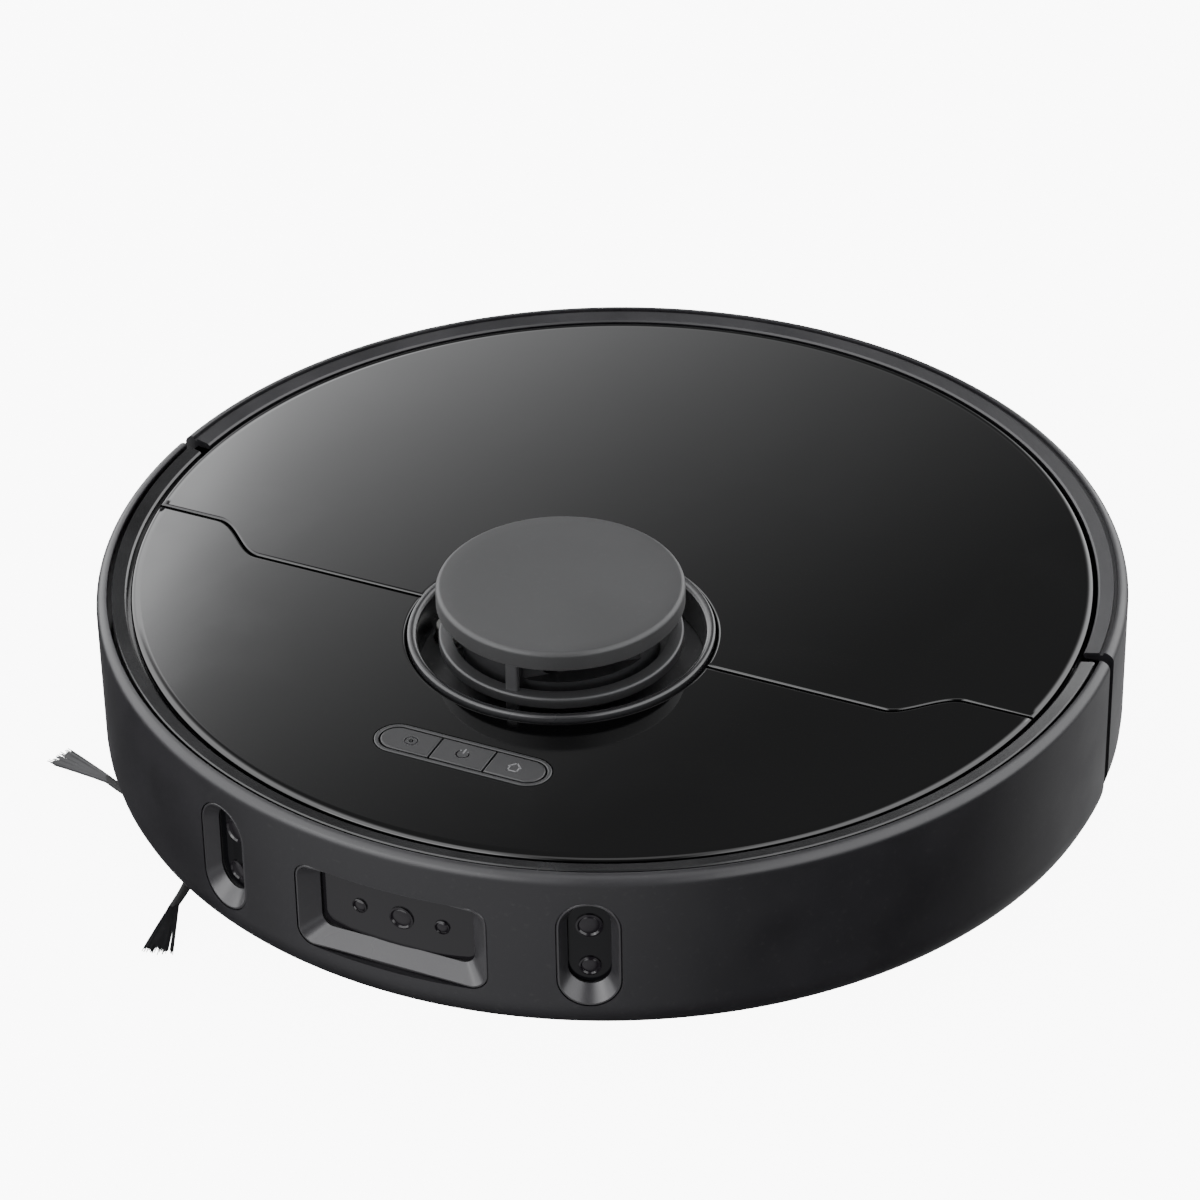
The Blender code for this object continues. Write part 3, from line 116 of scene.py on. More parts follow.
# %% [markdown]
# ## Floor and light
# A gloss black top shows nothing of its own: what is seen in it is the room. So the sky is two things.
# For soft light it is even and pale. For reflections it is dark, with one broad panel behind the robot
# that fades from a bright lower left to a dark right, which lays the grey sheen over half the top. Pale
# panels stand at both sides, and below the horizon a glow in front and behind stands in for the table.
# The table itself is bright to the camera only, and from below it is clear.

# %% Light table
FLOOR_SIZE, FLOOR_GLOW, FLOOR_GAP = 14.0, 9.0, 0.0004
floor_paper = plain_material("floor_paper", (0.80, 0.80, 0.80), 0.9)
floor_shader = floor_paper.node_tree.nodes["Principled BSDF"]
floor_shader.inputs["Emission Color"].default_value = (1, 1, 1, 1)
floor_shader.inputs["Emission Strength"].default_value = FLOOR_GLOW
floor_tree = floor_paper.node_tree
see_through = add_node(floor_tree, "ShaderNodeBsdfTransparent").outputs[0]
underneath = add_node(floor_tree, "ShaderNodeNewGeometry").outputs["Backfacing"]
two_sided = add_node(floor_tree, "ShaderNodeMixShader", _0=underneath, _1=floor_shader.outputs[0],
                     _2=see_through)
floor_tree.links.new(two_sided.outputs[0], floor_tree.nodes["Material Output"].inputs["Surface"])
floor_mesh = bpy.data.meshes.new("floor")
half = FLOOR_SIZE / 2
corners = [(-half, -half, 0), (half, -half, 0), (half, half, 0), (-half, half, 0)]
floor_mesh.from_pydata(corners, [], [(0, 1, 2, 3)])
floor_mesh.materials.append(floor_paper)
floor = bpy.data.objects.new("floor", floor_mesh)
floor.location.z = -FLOOR_GAP
floor.visible_glossy = False
floor.visible_diffuse = False
bpy.context.scene.collection.objects.link(floor)


# %% Lamps
def soft_lamp(name, azimuth, elevation, distance, width, height, watts, glints=True):
    """A rectangular softbox aimed at the robot."""
    data = bpy.data.lights.new(name, "AREA")
    data.shape = "RECTANGLE"
    data.size, data.size_y = width, height
    data.energy = watts
    lamp = bpy.data.objects.new(name, data)
    away = direction(azimuth, elevation)
    lamp.location = away * distance
    lamp.rotation_euler = away.to_track_quat("Z", "Y").to_euler()
    lamp.visible_glossy = glints
    bpy.context.scene.collection.objects.link(lamp)
    return lamp


soft_lamp("top_softbox", 20, 80, 2.2, 1.5, 1.5, 9)
soft_lamp("back_left_softbox", 230, 40, 2.4, 1.2, 1.2, 14, glints=False)
soft_lamp("front_left_softbox", -22, 30, 2.6, 1.8, 0.5, 13)
soft_lamp("low_front_softbox", -2, 7, 2.4, 0.9, 0.5, 26, glints=False)

# %% Sky with a fading panel for the reflections
SKY_SOFT = 0.38
SHEEN = ((-1.08, -12.98, 20.94), (-13.53, -128.53, 60.53))
SHEEN_MOST = 5.0
SKY_DIM = (0.06, 0.30)
SIDE_PANELS = 4.0
FLOOR_DARK = 0.06
FRONT_GLOW_AT, FRONT_GLOW = -12, 1.0
BACK_GLOW_AT, BACK_GLOW = 172, 0.5
world = bpy.data.worlds.new("studio")
bpy.context.scene.world = world
world.use_nodes = True
sky = world.node_tree
mirror = Vector((1, 1, -1))
across = aim.col[0].copy()
rise = aim.col[1] * mirror
centre = -towards * mirror
ray = add_node(sky, "ShaderNodeTexCoord").outputs["Generated"]


def along(axis):
    dot = add_node(sky, "ShaderNodeVectorMath", {"operation": "DOT_PRODUCT"}, _0=ray, _1=axis)
    return dot.outputs["Value"]


def ramp(value, start, end, low=0.0, high=1.0, kind="SMOOTHSTEP"):
    """Value mapped from start..end to low..high, held outside."""
    return add_node(sky, "ShaderNodeMapRange", {"interpolation_type": kind}, Value=value, From_Min=start,
                    From_Max=end, To_Min=low, To_Max=high).outputs[0]


sideways = sums(sky, "MAXIMUM", along(across), -0.12)
upwards = sums(sky, "MINIMUM", along(rise), 0.075)
fades = []
for base, by_side, by_height in SHEEN:
    slope = sums(sky, "ADD", sums(sky, "MULTIPLY", sideways, by_side),
                 sums(sky, "MULTIPLY_ADD", upwards, by_height, base))
    fades.append(sums(sky, "EXPONENT", slope))
sheen = sums(sky, "MINIMUM", sums(sky, "ADD", *fades), SHEEN_MOST)
cone = ramp(along(centre), math.cos(math.radians(30)), math.cos(math.radians(13)))
held = sums(sky, "MULTIPLY", cone, ramp(along(rise), 0.24, 0.10))
panel = sums(sky, "MULTIPLY", sheen, held)
height = along(Vector((0, 0, 1)))
dim = ramp(height, 0.0, 1.0, *SKY_DIM, kind="LINEAR")
beside = ramp(sums(sky, "ABSOLUTE", along(across)), 0.16, 0.42, 0.0, SIDE_PANELS)
above = sums(sky, "MAXIMUM", panel, sums(sky, "ADD", dim, beside))
below = sums(sky, "ADD", ramp(along(direction(FRONT_GLOW_AT, 0)), 0.25, 0.82, FLOOR_DARK, FRONT_GLOW),
             ramp(along(direction(BACK_GLOW_AT, 0)), 0.30, 0.80, 0.0, BACK_GLOW))
over_horizon = ramp(height, -0.08, 0.03)
glint = add_node(sky, "ShaderNodeMix", {"data_type": "FLOAT"}, _0=over_horizon, _2=below, _3=above).outputs[0]
is_glossy = add_node(sky, "ShaderNodeLightPath").outputs["Is Glossy Ray"]
strength = add_node(sky, "ShaderNodeMix", {"data_type": "FLOAT"}, _0=is_glossy, _2=SKY_SOFT, _3=glint)
sky.links.new(strength.outputs[0], sky.nodes["Background"].inputs["Strength"])
sky.nodes["Background"].inputs["Color"].default_value = (0.985, 0.99, 1.0, 1)

# %% [markdown]
# ## Shader groups
# Three effects come back in many finishes, so each is a node group built once: the fine grain of a
# moulded part, the faint smears on a gloss panel, and the brushed lines of plain metal. A group puts
# out only a colour, a roughness and a height; the shader itself stays in each material.

# %% An empty group with named sockets
def shader_group(name, inputs, outputs):
    """An empty shader group with named sockets: {name: (type, default)}."""
    tree = bpy.data.node_groups.new(name, "ShaderNodeTree")
    for label, (kind, default) in inputs.items():
        socket = tree.interface.new_socket(name=label, in_out="INPUT", socket_type=f"NodeSocket{kind}")
        socket.default_value = default
    for label, kind in outputs.items():
        tree.interface.new_socket(name=label, in_out="OUTPUT", socket_type=f"NodeSocket{kind}")
    return tree, tree.nodes.new("NodeGroupInput").outputs, tree.nodes.new("NodeGroupOutput").inputs


def noise(tree, place, scale, detail, **more):
    """Value of a noise at a place."""
    made = add_node(tree, "ShaderNodeTexNoise", Vector=place, Scale=scale, Detail=detail, **more)
    return made.outputs["Fac"]


def spread(tree, value, low, high):
    """The part of a value between low and high, as 0 to 1."""
    return add_node(tree, "ShaderNodeMapRange", Value=value, From_Min=low, From_Max=high).outputs[0]


def blend_colours(tree, share, first, second):
    return add_node(tree, "ShaderNodeMix", {"data_type": "RGBA"}, _0=share, _6=first, _7=second).outputs[2]


def give(tree, result, **sockets):
    """Links sockets to the group's outputs of the same name."""
    for label, socket in sockets.items():
        tree.links.new(socket, result[label])


# %% Moulded grain: spark-eroded texture, slight colour drift and a little dust in it
def moulded_grain_group():
    tree, given, result = shader_group(
        "moulded_grain",
        {"Color": ("Color", (0.05, 0.05, 0.05, 1)), "Roughness": ("Float", 0.45), "Grain": ("Float", 2600.0),
         "Drift": ("Float", 0.12), "Dust": ("Float", 0.10)},
        {"Color": "Color", "Roughness": "Float", "Height": "Float"})
    place = add_node(tree, "ShaderNodeTexCoord").outputs["Object"]
    grain = noise(tree, place, given["Grain"], 2.0)
    span = spread(tree, noise(tree, place, 34.0, 3.0), 0.35, 0.65)
    lighter = add_node(tree, "ShaderNodeHueSaturation", Value=1.35, Color=given["Color"]).outputs[0]
    mixed = blend_colours(tree, sums(tree, "MULTIPLY", span, given["Drift"]), given["Color"], lighter)
    few = spread(tree, noise(tree, place, 520.0, 4.0), 0.60, 0.78)
    dusty = blend_colours(tree, sums(tree, "MULTIPLY", few, given["Dust"]), mixed, (0.32, 0.31, 0.30, 1))
    rough = sums(tree, "MULTIPLY_ADD", span, 0.08, given["Roughness"])
    give(tree, result, Color=dusty, Roughness=rough, Height=grain)
    return tree


# %% Smears: the roughness of a polished panel that hands have touched
def smear_group():
    tree, given, result = shader_group(
        "panel_smears",
        {"Roughness": ("Float", 0.05), "Smear": ("Float", 0.05), "Scratch": ("Float", 0.02)},
        {"Roughness": "Float", "Height": "Float"})
    place = add_node(tree, "ShaderNodeTexCoord").outputs["Object"]
    cloud = noise(tree, place, 13.0, 5.0, Distortion=0.8)
    patch = spread(tree, cloud, 0.48, 0.72)
    turned = add_node(tree, "ShaderNodeMapping", Vector=place, Rotation=(0, 0, 0.6), Scale=(14, 900, 1))
    fine = spread(tree, noise(tree, turned.outputs[0], 1.0, 2.0), 0.66, 0.80)
    smeared = sums(tree, "MULTIPLY_ADD", patch, given["Smear"], given["Roughness"])
    give(tree, result, Roughness=sums(tree, "MULTIPLY_ADD", fine, given["Scratch"], smeared), Height=cloud)
    return tree


# %% Brushed lines for metal
def brushed_group():
    tree, given, result = shader_group(
        "brushed_metal",
        {"Color": ("Color", (0.6, 0.6, 0.6, 1)), "Roughness": ("Float", 0.3), "Length": ("Float", 60.0)},
        {"Color": "Color", "Roughness": "Float", "Height": "Float"})
    place = add_node(tree, "ShaderNodeTexCoord").outputs["Object"]
    size = add_node(tree, "ShaderNodeCombineXYZ", X=given["Length"], Y=2400.0, Z=2400.0).outputs[0]
    lines = noise(tree, sums(tree, "MULTIPLY", place, size, kind="ShaderNodeVectorMath"), 1.0, 3.0)
    darker = add_node(tree, "ShaderNodeHueSaturation", Value=0.72, Color=given["Color"]).outputs[0]
    give(tree, result, Color=blend_colours(tree, lines, darker, given["Color"]),
         Roughness=sums(tree, "MULTIPLY_ADD", lines, 0.18, given["Roughness"]), Height=lines)
    return tree


GRAIN, SMEARS, BRUSHED = moulded_grain_group(), smear_group(), brushed_group()

# %% [markdown]
# ## Finishes
# Every material is a Principled shader fed by one of the groups with its own numbers. Values that are
# the same all over, such as the index of refraction or the coat, are set on the shader's own sockets.


# %% Builders for the three families of finish
def finish(name, colour, group, bump, plain, **given):
    """Principled material whose sockets are fed by a group; bump is (strength, distance)."""
    made = plain_material(name, colour, given["Roughness"])
    tree = made.node_tree
    shader = tree.nodes["Principled BSDF"]
    fed = add_node(tree, "ShaderNodeGroup", {"node_tree": group}, **given).outputs
    for label, socket in (("Color", "Base Color"), ("Roughness", "Roughness")):
        if label in fed:
            tree.links.new(fed[label], shader.inputs[socket])
    height = add_node(tree, "ShaderNodeBump", Height=fed["Height"], Strength=bump[0], Distance=bump[1])
    tree.links.new(height.outputs[0], shader.inputs["Normal"])
    for key, value in plain.items():
        shader.inputs[key].default_value = value
    return made


def moulded(name, colour, roughness, grain=2600.0, bump=0.25, drift=0.12, dust=0.06, coat=0.0):
    return finish(name, colour, GRAIN, (bump, 0.00008), {"Coat Weight": coat}, Color=(*colour, 1),
                  Roughness=roughness, Grain=grain, Drift=drift, Dust=dust)


def glossy(name, colour, roughness, smear, scratch, ior):
    return finish(name, colour, SMEARS, (0.02, 0.0002), {"IOR": ior}, Roughness=roughness, Smear=smear,
                  Scratch=scratch)


def metal(name, colour, roughness, length=60.0):
    return finish(name, colour, BRUSHED, (0.15, 0.00004), {"Metallic": 1.0}, Color=(*colour, 1),
                  Roughness=roughness, Length=length)


# %% The finishes of this robot
SHELL = moulded("shell_plastic", (0.0098, 0.0093, 0.0112), 0.34, grain=3200, bump=0.30, dust=0.03)
BAND = moulded("rim_band_plastic", (0.010, 0.010, 0.011), 0.20, grain=3200, bump=0.20, dust=0.02)
# The window frames are the shell's plastic, a little glossier. Their colour is set lighter than the shell's
# so that the chamfers show brighter: painted highlight.
LIGHTENED_FRAME = moulded("window_frame_painted_highlight", (0.034, 0.033, 0.036), 0.26, grain=3200, bump=0.10, dust=0.02)
TOP_GLOSS = glossy("top_gloss", (0.003, 0.003, 0.0032), 0.045, smear=0.035, scratch=0.02, ior=1.50)
CAP = moulded("cap_plastic", (0.036, 0.036, 0.037), 0.42, grain=3600, bump=0.22, dust=0.02)
RING = moulded("ring_satin", (0.030, 0.030, 0.032), 0.20, grain=1800, bump=0.08, dust=0.02)
CAGE = moulded("cage_plastic", (0.045, 0.045, 0.047), 0.40, grain=2600, bump=0.15, dust=0.03)
LIDAR = moulded("lidar_plastic", (0.010, 0.010, 0.011), 0.45, grain=2600, bump=0.15, dust=0.04)
LENS = glossy("lens_glass", (0.011, 0.009, 0.012), 0.12, smear=0.01, scratch=0.0, ior=1.40)
TINT = glossy("window_tint", (0.014, 0.013, 0.015), 0.08, smear=0.03, scratch=0.01, ior=1.38)
DARK = glossy("window_dark", (0.006, 0.006, 0.007), 0.08, smear=0.03, scratch=0.01, ior=1.28)
KEYS = moulded("key_plastic", (0.013, 0.013, 0.014), 0.44, grain=3600, bump=0.12, dust=0.02)
BEZEL = moulded("bezel_plastic", (0.014, 0.014, 0.015), 0.42, grain=3600, bump=0.12, dust=0.02)
ICON = moulded("icon_print", (0.30, 0.30, 0.31), 0.45, grain=3600, bump=0.05, dust=0.0)
CASE = moulded("case_plastic", (0.018, 0.018, 0.019), 0.52, grain=1900, bump=0.35, dust=0.12)
DECK = moulded("deck_plastic", (0.028, 0.028, 0.030), 0.50, grain=2100, bump=0.30, dust=0.10)
GREY = moulded("grey_plastic", (0.085, 0.085, 0.090), 0.50, grain=2300, bump=0.28, dust=0.08)
GEARBOX = moulded("gearbox_plastic", (0.15, 0.15, 0.155), 0.52, grain=1900, bump=0.30, dust=0.10)
GUARD = moulded("guard_plastic", (0.050, 0.050, 0.054), 0.42, grain=2400, bump=0.25, dust=0.08)
RUBBER = moulded("tyre_rubber", (0.016, 0.016, 0.016), 0.78, grain=1300, bump=0.55, drift=0.3, dust=0.20)
BLADES = moulded("blade_rubber", (0.055, 0.055, 0.060), 0.66, grain=1500, bump=0.35, drift=0.2, dust=0.16)
BRISTLE = moulded("bristle_nylon", (0.022, 0.022, 0.024), 0.50, grain=1500, bump=0.10, dust=0.05)
NYLON = moulded("white_nylon", (0.52, 0.52, 0.50), 0.42, grain=1700, bump=0.15, dust=0.12)
BIN = moulded("smoked_plastic", (0.075, 0.075, 0.080), 0.22, grain=1500, bump=0.06, dust=0.10, coat=0.4)
COVER = moulded("bin_cover_plastic", (0.034, 0.034, 0.036), 0.44, grain=2300, bump=0.25, dust=0.08)
PAPER = moulded("filter_paper", (0.72, 0.71, 0.66), 0.88, grain=900, bump=0.7, drift=0.35, dust=0.25)
WRAP = moulded("battery_wrap", (0.040, 0.085, 0.19), 0.38, grain=700, bump=0.10, dust=0.06, coat=0.3)
BOARD = moulded("solder_mask", (0.010, 0.070, 0.032), 0.36, grain=900, bump=0.25, drift=0.4, dust=0.05,
                coat=0.5)
STEEL = metal("plain_steel", (0.55, 0.56, 0.58), 0.26)
CONTACT = metal("contact_plate", (0.72, 0.70, 0.65), 0.18, length=30.0)
SCREW = metal("screw_steel", (0.16, 0.16, 0.17), 0.32, length=200.0)

CAD_FINISHES = {
    CASE: "bottom_case brush_tunnel caster_socket",
    DECK: "inner_deck lid_frame",
    RUBBER: "lidar_belt",
    STEEL: "lidar_motor brush_motor",
    NYLON: "motor_pulley brush_bearing_left brush_bearing_right caster_wheel",
    WRAP: "battery",
    BOARD: "main_board",
    GREY: "fan_housing fan_impeller caster_fork wheel_hub_left wheel_hub_right",
    BIN: "bin_body",
    COVER: "bin_cover",
    GUARD: "bin_handle brush_guard",
    PAPER: "bin_filter",
    GEARBOX: "brush_gear_cover side_gearbox wheel_arm_left wheel_arm_right",
    CONTACT: "charging_contact_left charging_contact_right",
    DARK: "cliff_sensor_left_front cliff_sensor_left_side cliff_sensor_right_front cliff_sensor_right_side",
    KEYS: "reset_button",
    BLADES: "main_brush",
}
painted = [(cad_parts[node], paint) for paint, nodes in CAD_FINISHES.items() for node in nodes.split()]
for node, paint in painted:
    for slot in node.material_slots:
        slot.material = paint
print("CAD nodes that keep their shape:", len(painted))

# %% [markdown]
# ## Shape helpers
# Round pieces are turned from a profile, and everything else is a loft between outlines that have the
# same number of points. Each finished piece gets its finish, the body it rides on and the CAD nodes that
# it stands for.

# %% Turned, lofted and extruded shapes
FRONT, BACK, FULL = -90.0, 90.0, 360.0


def tidy(bm):
    """Welds doubled points, drops faces without area and turns every face outwards."""
    bmesh.ops.remove_doubles(bm, verts=bm.verts, dist=1e-6)
    bmesh.ops.dissolve_degenerate(bm, edges=bm.edges, dist=1e-6)
    bmesh.ops.recalc_face_normals(bm, faces=bm.faces)
    return bm


def loft(loops, closed=False):
    """Skin over loops of equal length; closed joins the last loop to the first."""
    bm = bmesh.new()
    rows = [[bm.verts.new(point) for point in loop] for loop in loops]
    pairs = list(zip(rows, rows[1:])) + ([(rows[-1], rows[0])] if closed else [])
    for near, far in pairs:
        for i in range(len(near)):
            j = (i + 1) % len(near)
            bm.faces.new((near[i], near[j], far[j], far[i]))
    if not closed:
        bm.faces.new(list(reversed(rows[0])))
        bm.faces.new(rows[-1])
    return tidy(bm)


def lathe(profile, sides=256, start=0.0, sweep=FULL):
    """Closed profile of (radius, height) turned about Z."""
    steps = max(3, round(sides * sweep / FULL))
    loops = []
    for i in range(steps if sweep >= FULL else steps + 1):
        a = math.radians(start + sweep * i / steps)
        loops.append([(r * math.cos(a), r * math.sin(a), z) for r, z in profile])
    return loft(loops, closed=sweep >= FULL)


def prism(outline, low, high):
    return loft([[(x, y, z) for x, y in outline] for z in (low, high)])


def soft_prism(outline_at, low, high, edge, steps=4):
    """Prism whose top edge is rounded; outline_at gives the outline for an inset."""
    loops = [[(x, y, low) for x, y in outline_at(0.0)]]
    for i in range(steps + 1):
        a = math.radians(90 * i / steps)
        inset = edge * (1 - math.cos(a))
        loops.append([(x, y, high - edge * (1 - math.sin(a))) for x, y in outline_at(inset)])
    loops.append([(x, y, high) for x, y in outline_at(edge * 1.15)])
    return loft(loops)


def block(low, high):
    outline = [(low[0], low[1]), (high[0], low[1]), (high[0], high[1]), (low[0], high[1])]
    return prism(outline, low[2], high[2])


def shifted(bm, x=0.0, y=0.0, z=0.0):
    bmesh.ops.translate(bm, verts=bm.verts, vec=(x, y, z))
    return bm


def turned(bm, degrees, axis="Z"):
    bmesh.ops.rotate(bm, verts=bm.verts, matrix=Matrix.Rotation(math.radians(degrees), 3, axis))
    return bm


def merged(*shapes):
    """All shapes in one mesh, as they stand."""
    whole = bmesh.new()
    for shape in shapes:
        mesh = bpy.data.meshes.new("part")
        shape.to_mesh(mesh)
        whole.from_mesh(mesh)
        bpy.data.meshes.remove(mesh)
        shape.free()
    return whole


def hidden_object(bm):
    mesh = bpy.data.meshes.new("tool")
    bm.to_mesh(mesh)
    bm.free()
    made = bpy.data.objects.new("tool", mesh)
    bpy.context.scene.collection.objects.link(made)
    return made


def plain_mesh(obj):
    """The evaluated mesh of obj as its own data."""
    return bpy.data.meshes.new_from_object(obj.evaluated_get(bpy.context.evaluated_depsgraph_get()))


def cut(bm, *tools):
    """bm with the tools cut away."""
    base, tool = hidden_object(bm), hidden_object(merged(*tools))
    step = base.modifiers.new("cut", "BOOLEAN")
    step.operation, step.solver, step.object = "DIFFERENCE", "EXACT", tool
    mesh = plain_mesh(base)
    out = bmesh.new()
    out.from_mesh(mesh)
    bpy.data.objects.remove(base)
    bpy.data.objects.remove(tool)
    return tidy(out)


# %% Outlines in a plane
def arc(radius, start, end, steps, centre=(0.0, 0.0)):
    turns = [math.radians(start + (end - start) * i / steps) for i in range(steps + 1)]
    return [(centre[0] + radius * math.cos(t), centre[1] + radius * math.sin(t)) for t in turns]


def rounded(width, height, radius, centre=(0.0, 0.0), steps=8):
    """Rectangle with round corners; with radius half its height it is a stadium."""
    points = []
    for turn, sx, sy in ((0, 1, 1), (90, -1, 1), (180, -1, -1), (270, 1, -1)):
        corner = (centre[0] + sx * (width / 2 - radius), centre[1] + sy * (height / 2 - radius))
        points += arc(radius, turn, turn + 90, steps, corner)
    return points


def spoke(angle):
    """Level unit vector at an angle from +X, in degrees."""
    return Vector((math.cos(math.radians(angle)), math.sin(math.radians(angle)), 0))


def on_wall(outline, angle, radius):
    """A flat outline (sideways, up) laid on the upright wall of that radius, facing out at angle."""
    out, side = spoke(angle), spoke(angle + 90)
    return [out * math.sqrt(radius**2 - u**2) + side * u + Vector((0, 0, z)) for u, z in outline]


def through_wall(outline, angle, inner, outer):
    """Straight cutter through the upright wall, from inner to outer radius."""
    out, side = spoke(angle), spoke(angle + 90)
    return loft([[out * r + side * u + Vector((0, 0, z)) for u, z in outline] for r in (inner, outer)])


# %% Finished pieces
MADE = []


def finish_mesh(name, mesh, paint, body, stands_for, angle):
    mesh.materials.clear()
    mesh.materials.append(paint)
    mesh.name = name
    mesh.shade_smooth()
    mesh.set_sharp_from_angle(angle=math.radians(angle))
    made = bpy.data.objects.new(name, mesh)
    bpy.context.scene.collection.objects.link(made)
    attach(made, body)
    if stands_for:
        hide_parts(*stands_for)
    MADE.append((name, len(mesh.polygons)))
    return made


def piece(name, bm, paint, body, stands_for=(), angle=32):
    mesh = bpy.data.meshes.new(name)
    bm.to_mesh(mesh)
    bm.free()
    return finish_mesh(name, mesh, paint, body, stands_for, angle)


def report(count):
    """Prints the last pieces made, with their faces."""
    print(", ".join(f"{name} {faces}" for name, faces in MADE[-count:]))


# %% [markdown]
# ## Copies by the hundred
# Screws, slats, ribs, tread lugs and bristles are small shapes on many points. One Geometry Nodes group sets
# them out: each point carries its own turn, and the group adds a random twist and length from a fixed
# seed, makes the copies real and gives them their finish.

# %% The group that sets out copies
def scatter_group():
    tree = bpy.data.node_groups.new("set_out_copies", "GeometryNodeTree")
    wanted = (("Points", "Geometry"), ("Part", "Object"), ("Finish", "Material"), ("Twist", "Float"),
              ("Stretch", "Float"), ("Seed", "Int"))
    for label, kind in wanted:
        tree.interface.new_socket(name=label, in_out="INPUT", socket_type=f"NodeSocket{kind}")
    tree.interface.new_socket(name="Copies", in_out="OUTPUT", socket_type="NodeSocketGeometry")
    given, result = tree.nodes.new("NodeGroupInput"), tree.nodes.new("NodeGroupOutput")
    part = add_node(tree, "GeometryNodeObjectInfo", Object=given.outputs["Part"])
    turn = add_node(tree, "GeometryNodeInputNamedAttribute", {"data_type": "FLOAT_VECTOR"}, Name="turn")
    shorter = sums(tree, "SUBTRACT", 1.0, given.outputs["Stretch"])
    longer = sums(tree, "ADD", 1.0, given.outputs["Stretch"])
    length = add_node(tree, "FunctionNodeRandomValue", {"data_type": "FLOAT"}, _2=shorter, _3=longer,
                      Seed=given.outputs["Seed"])
    size = add_node(tree, "ShaderNodeCombineXYZ", X=1.0, Y=1.0, Z=length.outputs[1])
    back = sums(tree, "MULTIPLY", given.outputs["Twist"], -1.0)
    other_seed = sums(tree, "ADD", given.outputs["Seed"], 17.0)
    spin = add_node(tree, "FunctionNodeRandomValue", {"data_type": "FLOAT"}, _2=back,
                    _3=given.outputs["Twist"], Seed=other_seed)
    twist = add_node(tree, "ShaderNodeCombineXYZ", Z=spin.outputs[1])
    copies = add_node(tree, "GeometryNodeInstanceOnPoints", Points=given.outputs["Points"],
                      Instance=part.outputs["Geometry"], Rotation=turn.outputs["Attribute"],
                      Scale=size.outputs[0])
    twisted = add_node(tree, "GeometryNodeRotateInstances", Instances=copies.outputs[0],
                       Rotation=twist.outputs[0])
    real = add_node(tree, "GeometryNodeRealizeInstances", Geometry=twisted.outputs[0])
    painted = add_node(tree, "GeometryNodeSetMaterial", Geometry=real.outputs[0],
                       Material=given.outputs["Finish"])
    tree.links.new(painted.outputs[0], result.inputs["Copies"])
    return tree


COPIES = scatter_group()


# %% Copies of one shape on a list of places
def scatter(name, part, places, paint, body, stands_for=(), twist=0.0, stretch=0.0, seed=1, angle=40):
    """places holds (point, rotation matrix) pairs; the copies of one body become one plain mesh."""
    points = bpy.data.meshes.new("points")
    points.from_pydata([tuple(point) for point, turn in places], [], [])
    turns = points.attributes.new("turn", "FLOAT_VECTOR", "POINT")
    for i, (point, turn) in enumerate(places):
        turns.data[i].vector = turn.to_euler()
    holder = bpy.data.objects.new("points", points)
    bpy.context.scene.collection.objects.link(holder)
    source = hidden_object(part)
    step = holder.modifiers.new("copies", "NODES")
    step.node_group = COPIES
    sockets = {item.name: item.identifier for item in COPIES.interface.items_tree if item.in_out == "INPUT"}
    values = {"Part": source, "Finish": paint, "Twist": twist, "Stretch": stretch, "Seed": seed}
    for label, value in values.items():
        step[sockets[label]] = value
    mesh = plain_mesh(holder)
    bpy.data.objects.remove(holder)
    bpy.data.objects.remove(source)
    return finish_mesh(name, mesh, paint, body, stands_for, angle)


def facing(normal, up=(0, 0, 1)):
    """Rotation that takes Z to normal and keeps Y as near to up as it can."""
    z = Vector(normal).normalized()
    x = Vector(up).cross(z)
    x = x.normalized() if x.length > 1e-6 else Vector((1, 0, 0))
    return Matrix((x, z.cross(x), z)).transposed()


# %% [markdown]
# ## Shell
# The wall is two turned shells: the bumper over the front half and the fixed shell round the back, with
# an open slot between them. The bumper's top edge is rounded, and inside it a dark band rings the glass.

# %% Sizes of the shell
R, RIM, BOTTOM, WALL = 0.175, 0.078, 0.0188, 0.0024
BUMPER_HALF, REAR_START = 94.2, 95.8
LIP, BAND_OUT, BAND_IN = 0.1714, 0.1699, 0.1647
GLASS_R, GLASS_HIGH, GLASS_LOW = 0.1633, 0.077, 0.0748
WINDOW_HALF, WINDOW_Z, WINDOW_TALL = R * math.sin(math.radians(11.2)), 0.0465, 0.032
OVAL_AT, OVAL_Z, OVAL_WIDE, OVAL_TALL = 21.8, 0.048, 0.021, 0.041
WALL_AT, WALL_Z = FRONT - 68, 0.040
WALL_WIDE, WALL_TALL = 0.026, 0.014
OUTLET_Z, OUTLET_WIDE, OUTLET_TALL = 0.046, 0.084, 0.020
CUT_IN, CUT_OUT = 0.150, 0.190

# %% Bumper
edge = 0.0034
outside = [(R - 0.0036, BOTTOM), (R - 0.0020, BOTTOM + 0.0012), (R - 0.0009, BOTTOM + 0.0036),
           (R - 0.0002, BOTTOM + 0.0065), (R, BOTTOM + 0.009)]
top_edge = arc(edge, 0, 90, 10, (R - edge, RIM - edge))
inside = [(LIP, RIM), (LIP - 0.0002, RIM - 0.0004), (LIP - 0.0002, RIM - 0.0022), (R - WALL, RIM - 0.0045),
          (R - WALL, BOTTOM + 0.0095), (R - WALL - 0.0013, BOTTOM + 0.0042),
          (R - WALL - 0.0040, BOTTOM + 0.002), (R - WALL - 0.0040, BOTTOM)]
turn = 2 * BUMPER_HALF
window = rounded(2 * WINDOW_HALF, WINDOW_TALL, 0.006, (0, WINDOW_Z))
oval = rounded(OVAL_WIDE, OVAL_TALL, OVAL_WIDE / 2, (0, OVAL_Z), 12)
wall_hole = rounded(WALL_WIDE, WALL_TALL, 0.004, (0, WALL_Z))
tools = [through_wall(window, FRONT, CUT_IN, CUT_OUT), through_wall(wall_hole, WALL_AT, CUT_IN, CUT_OUT)]
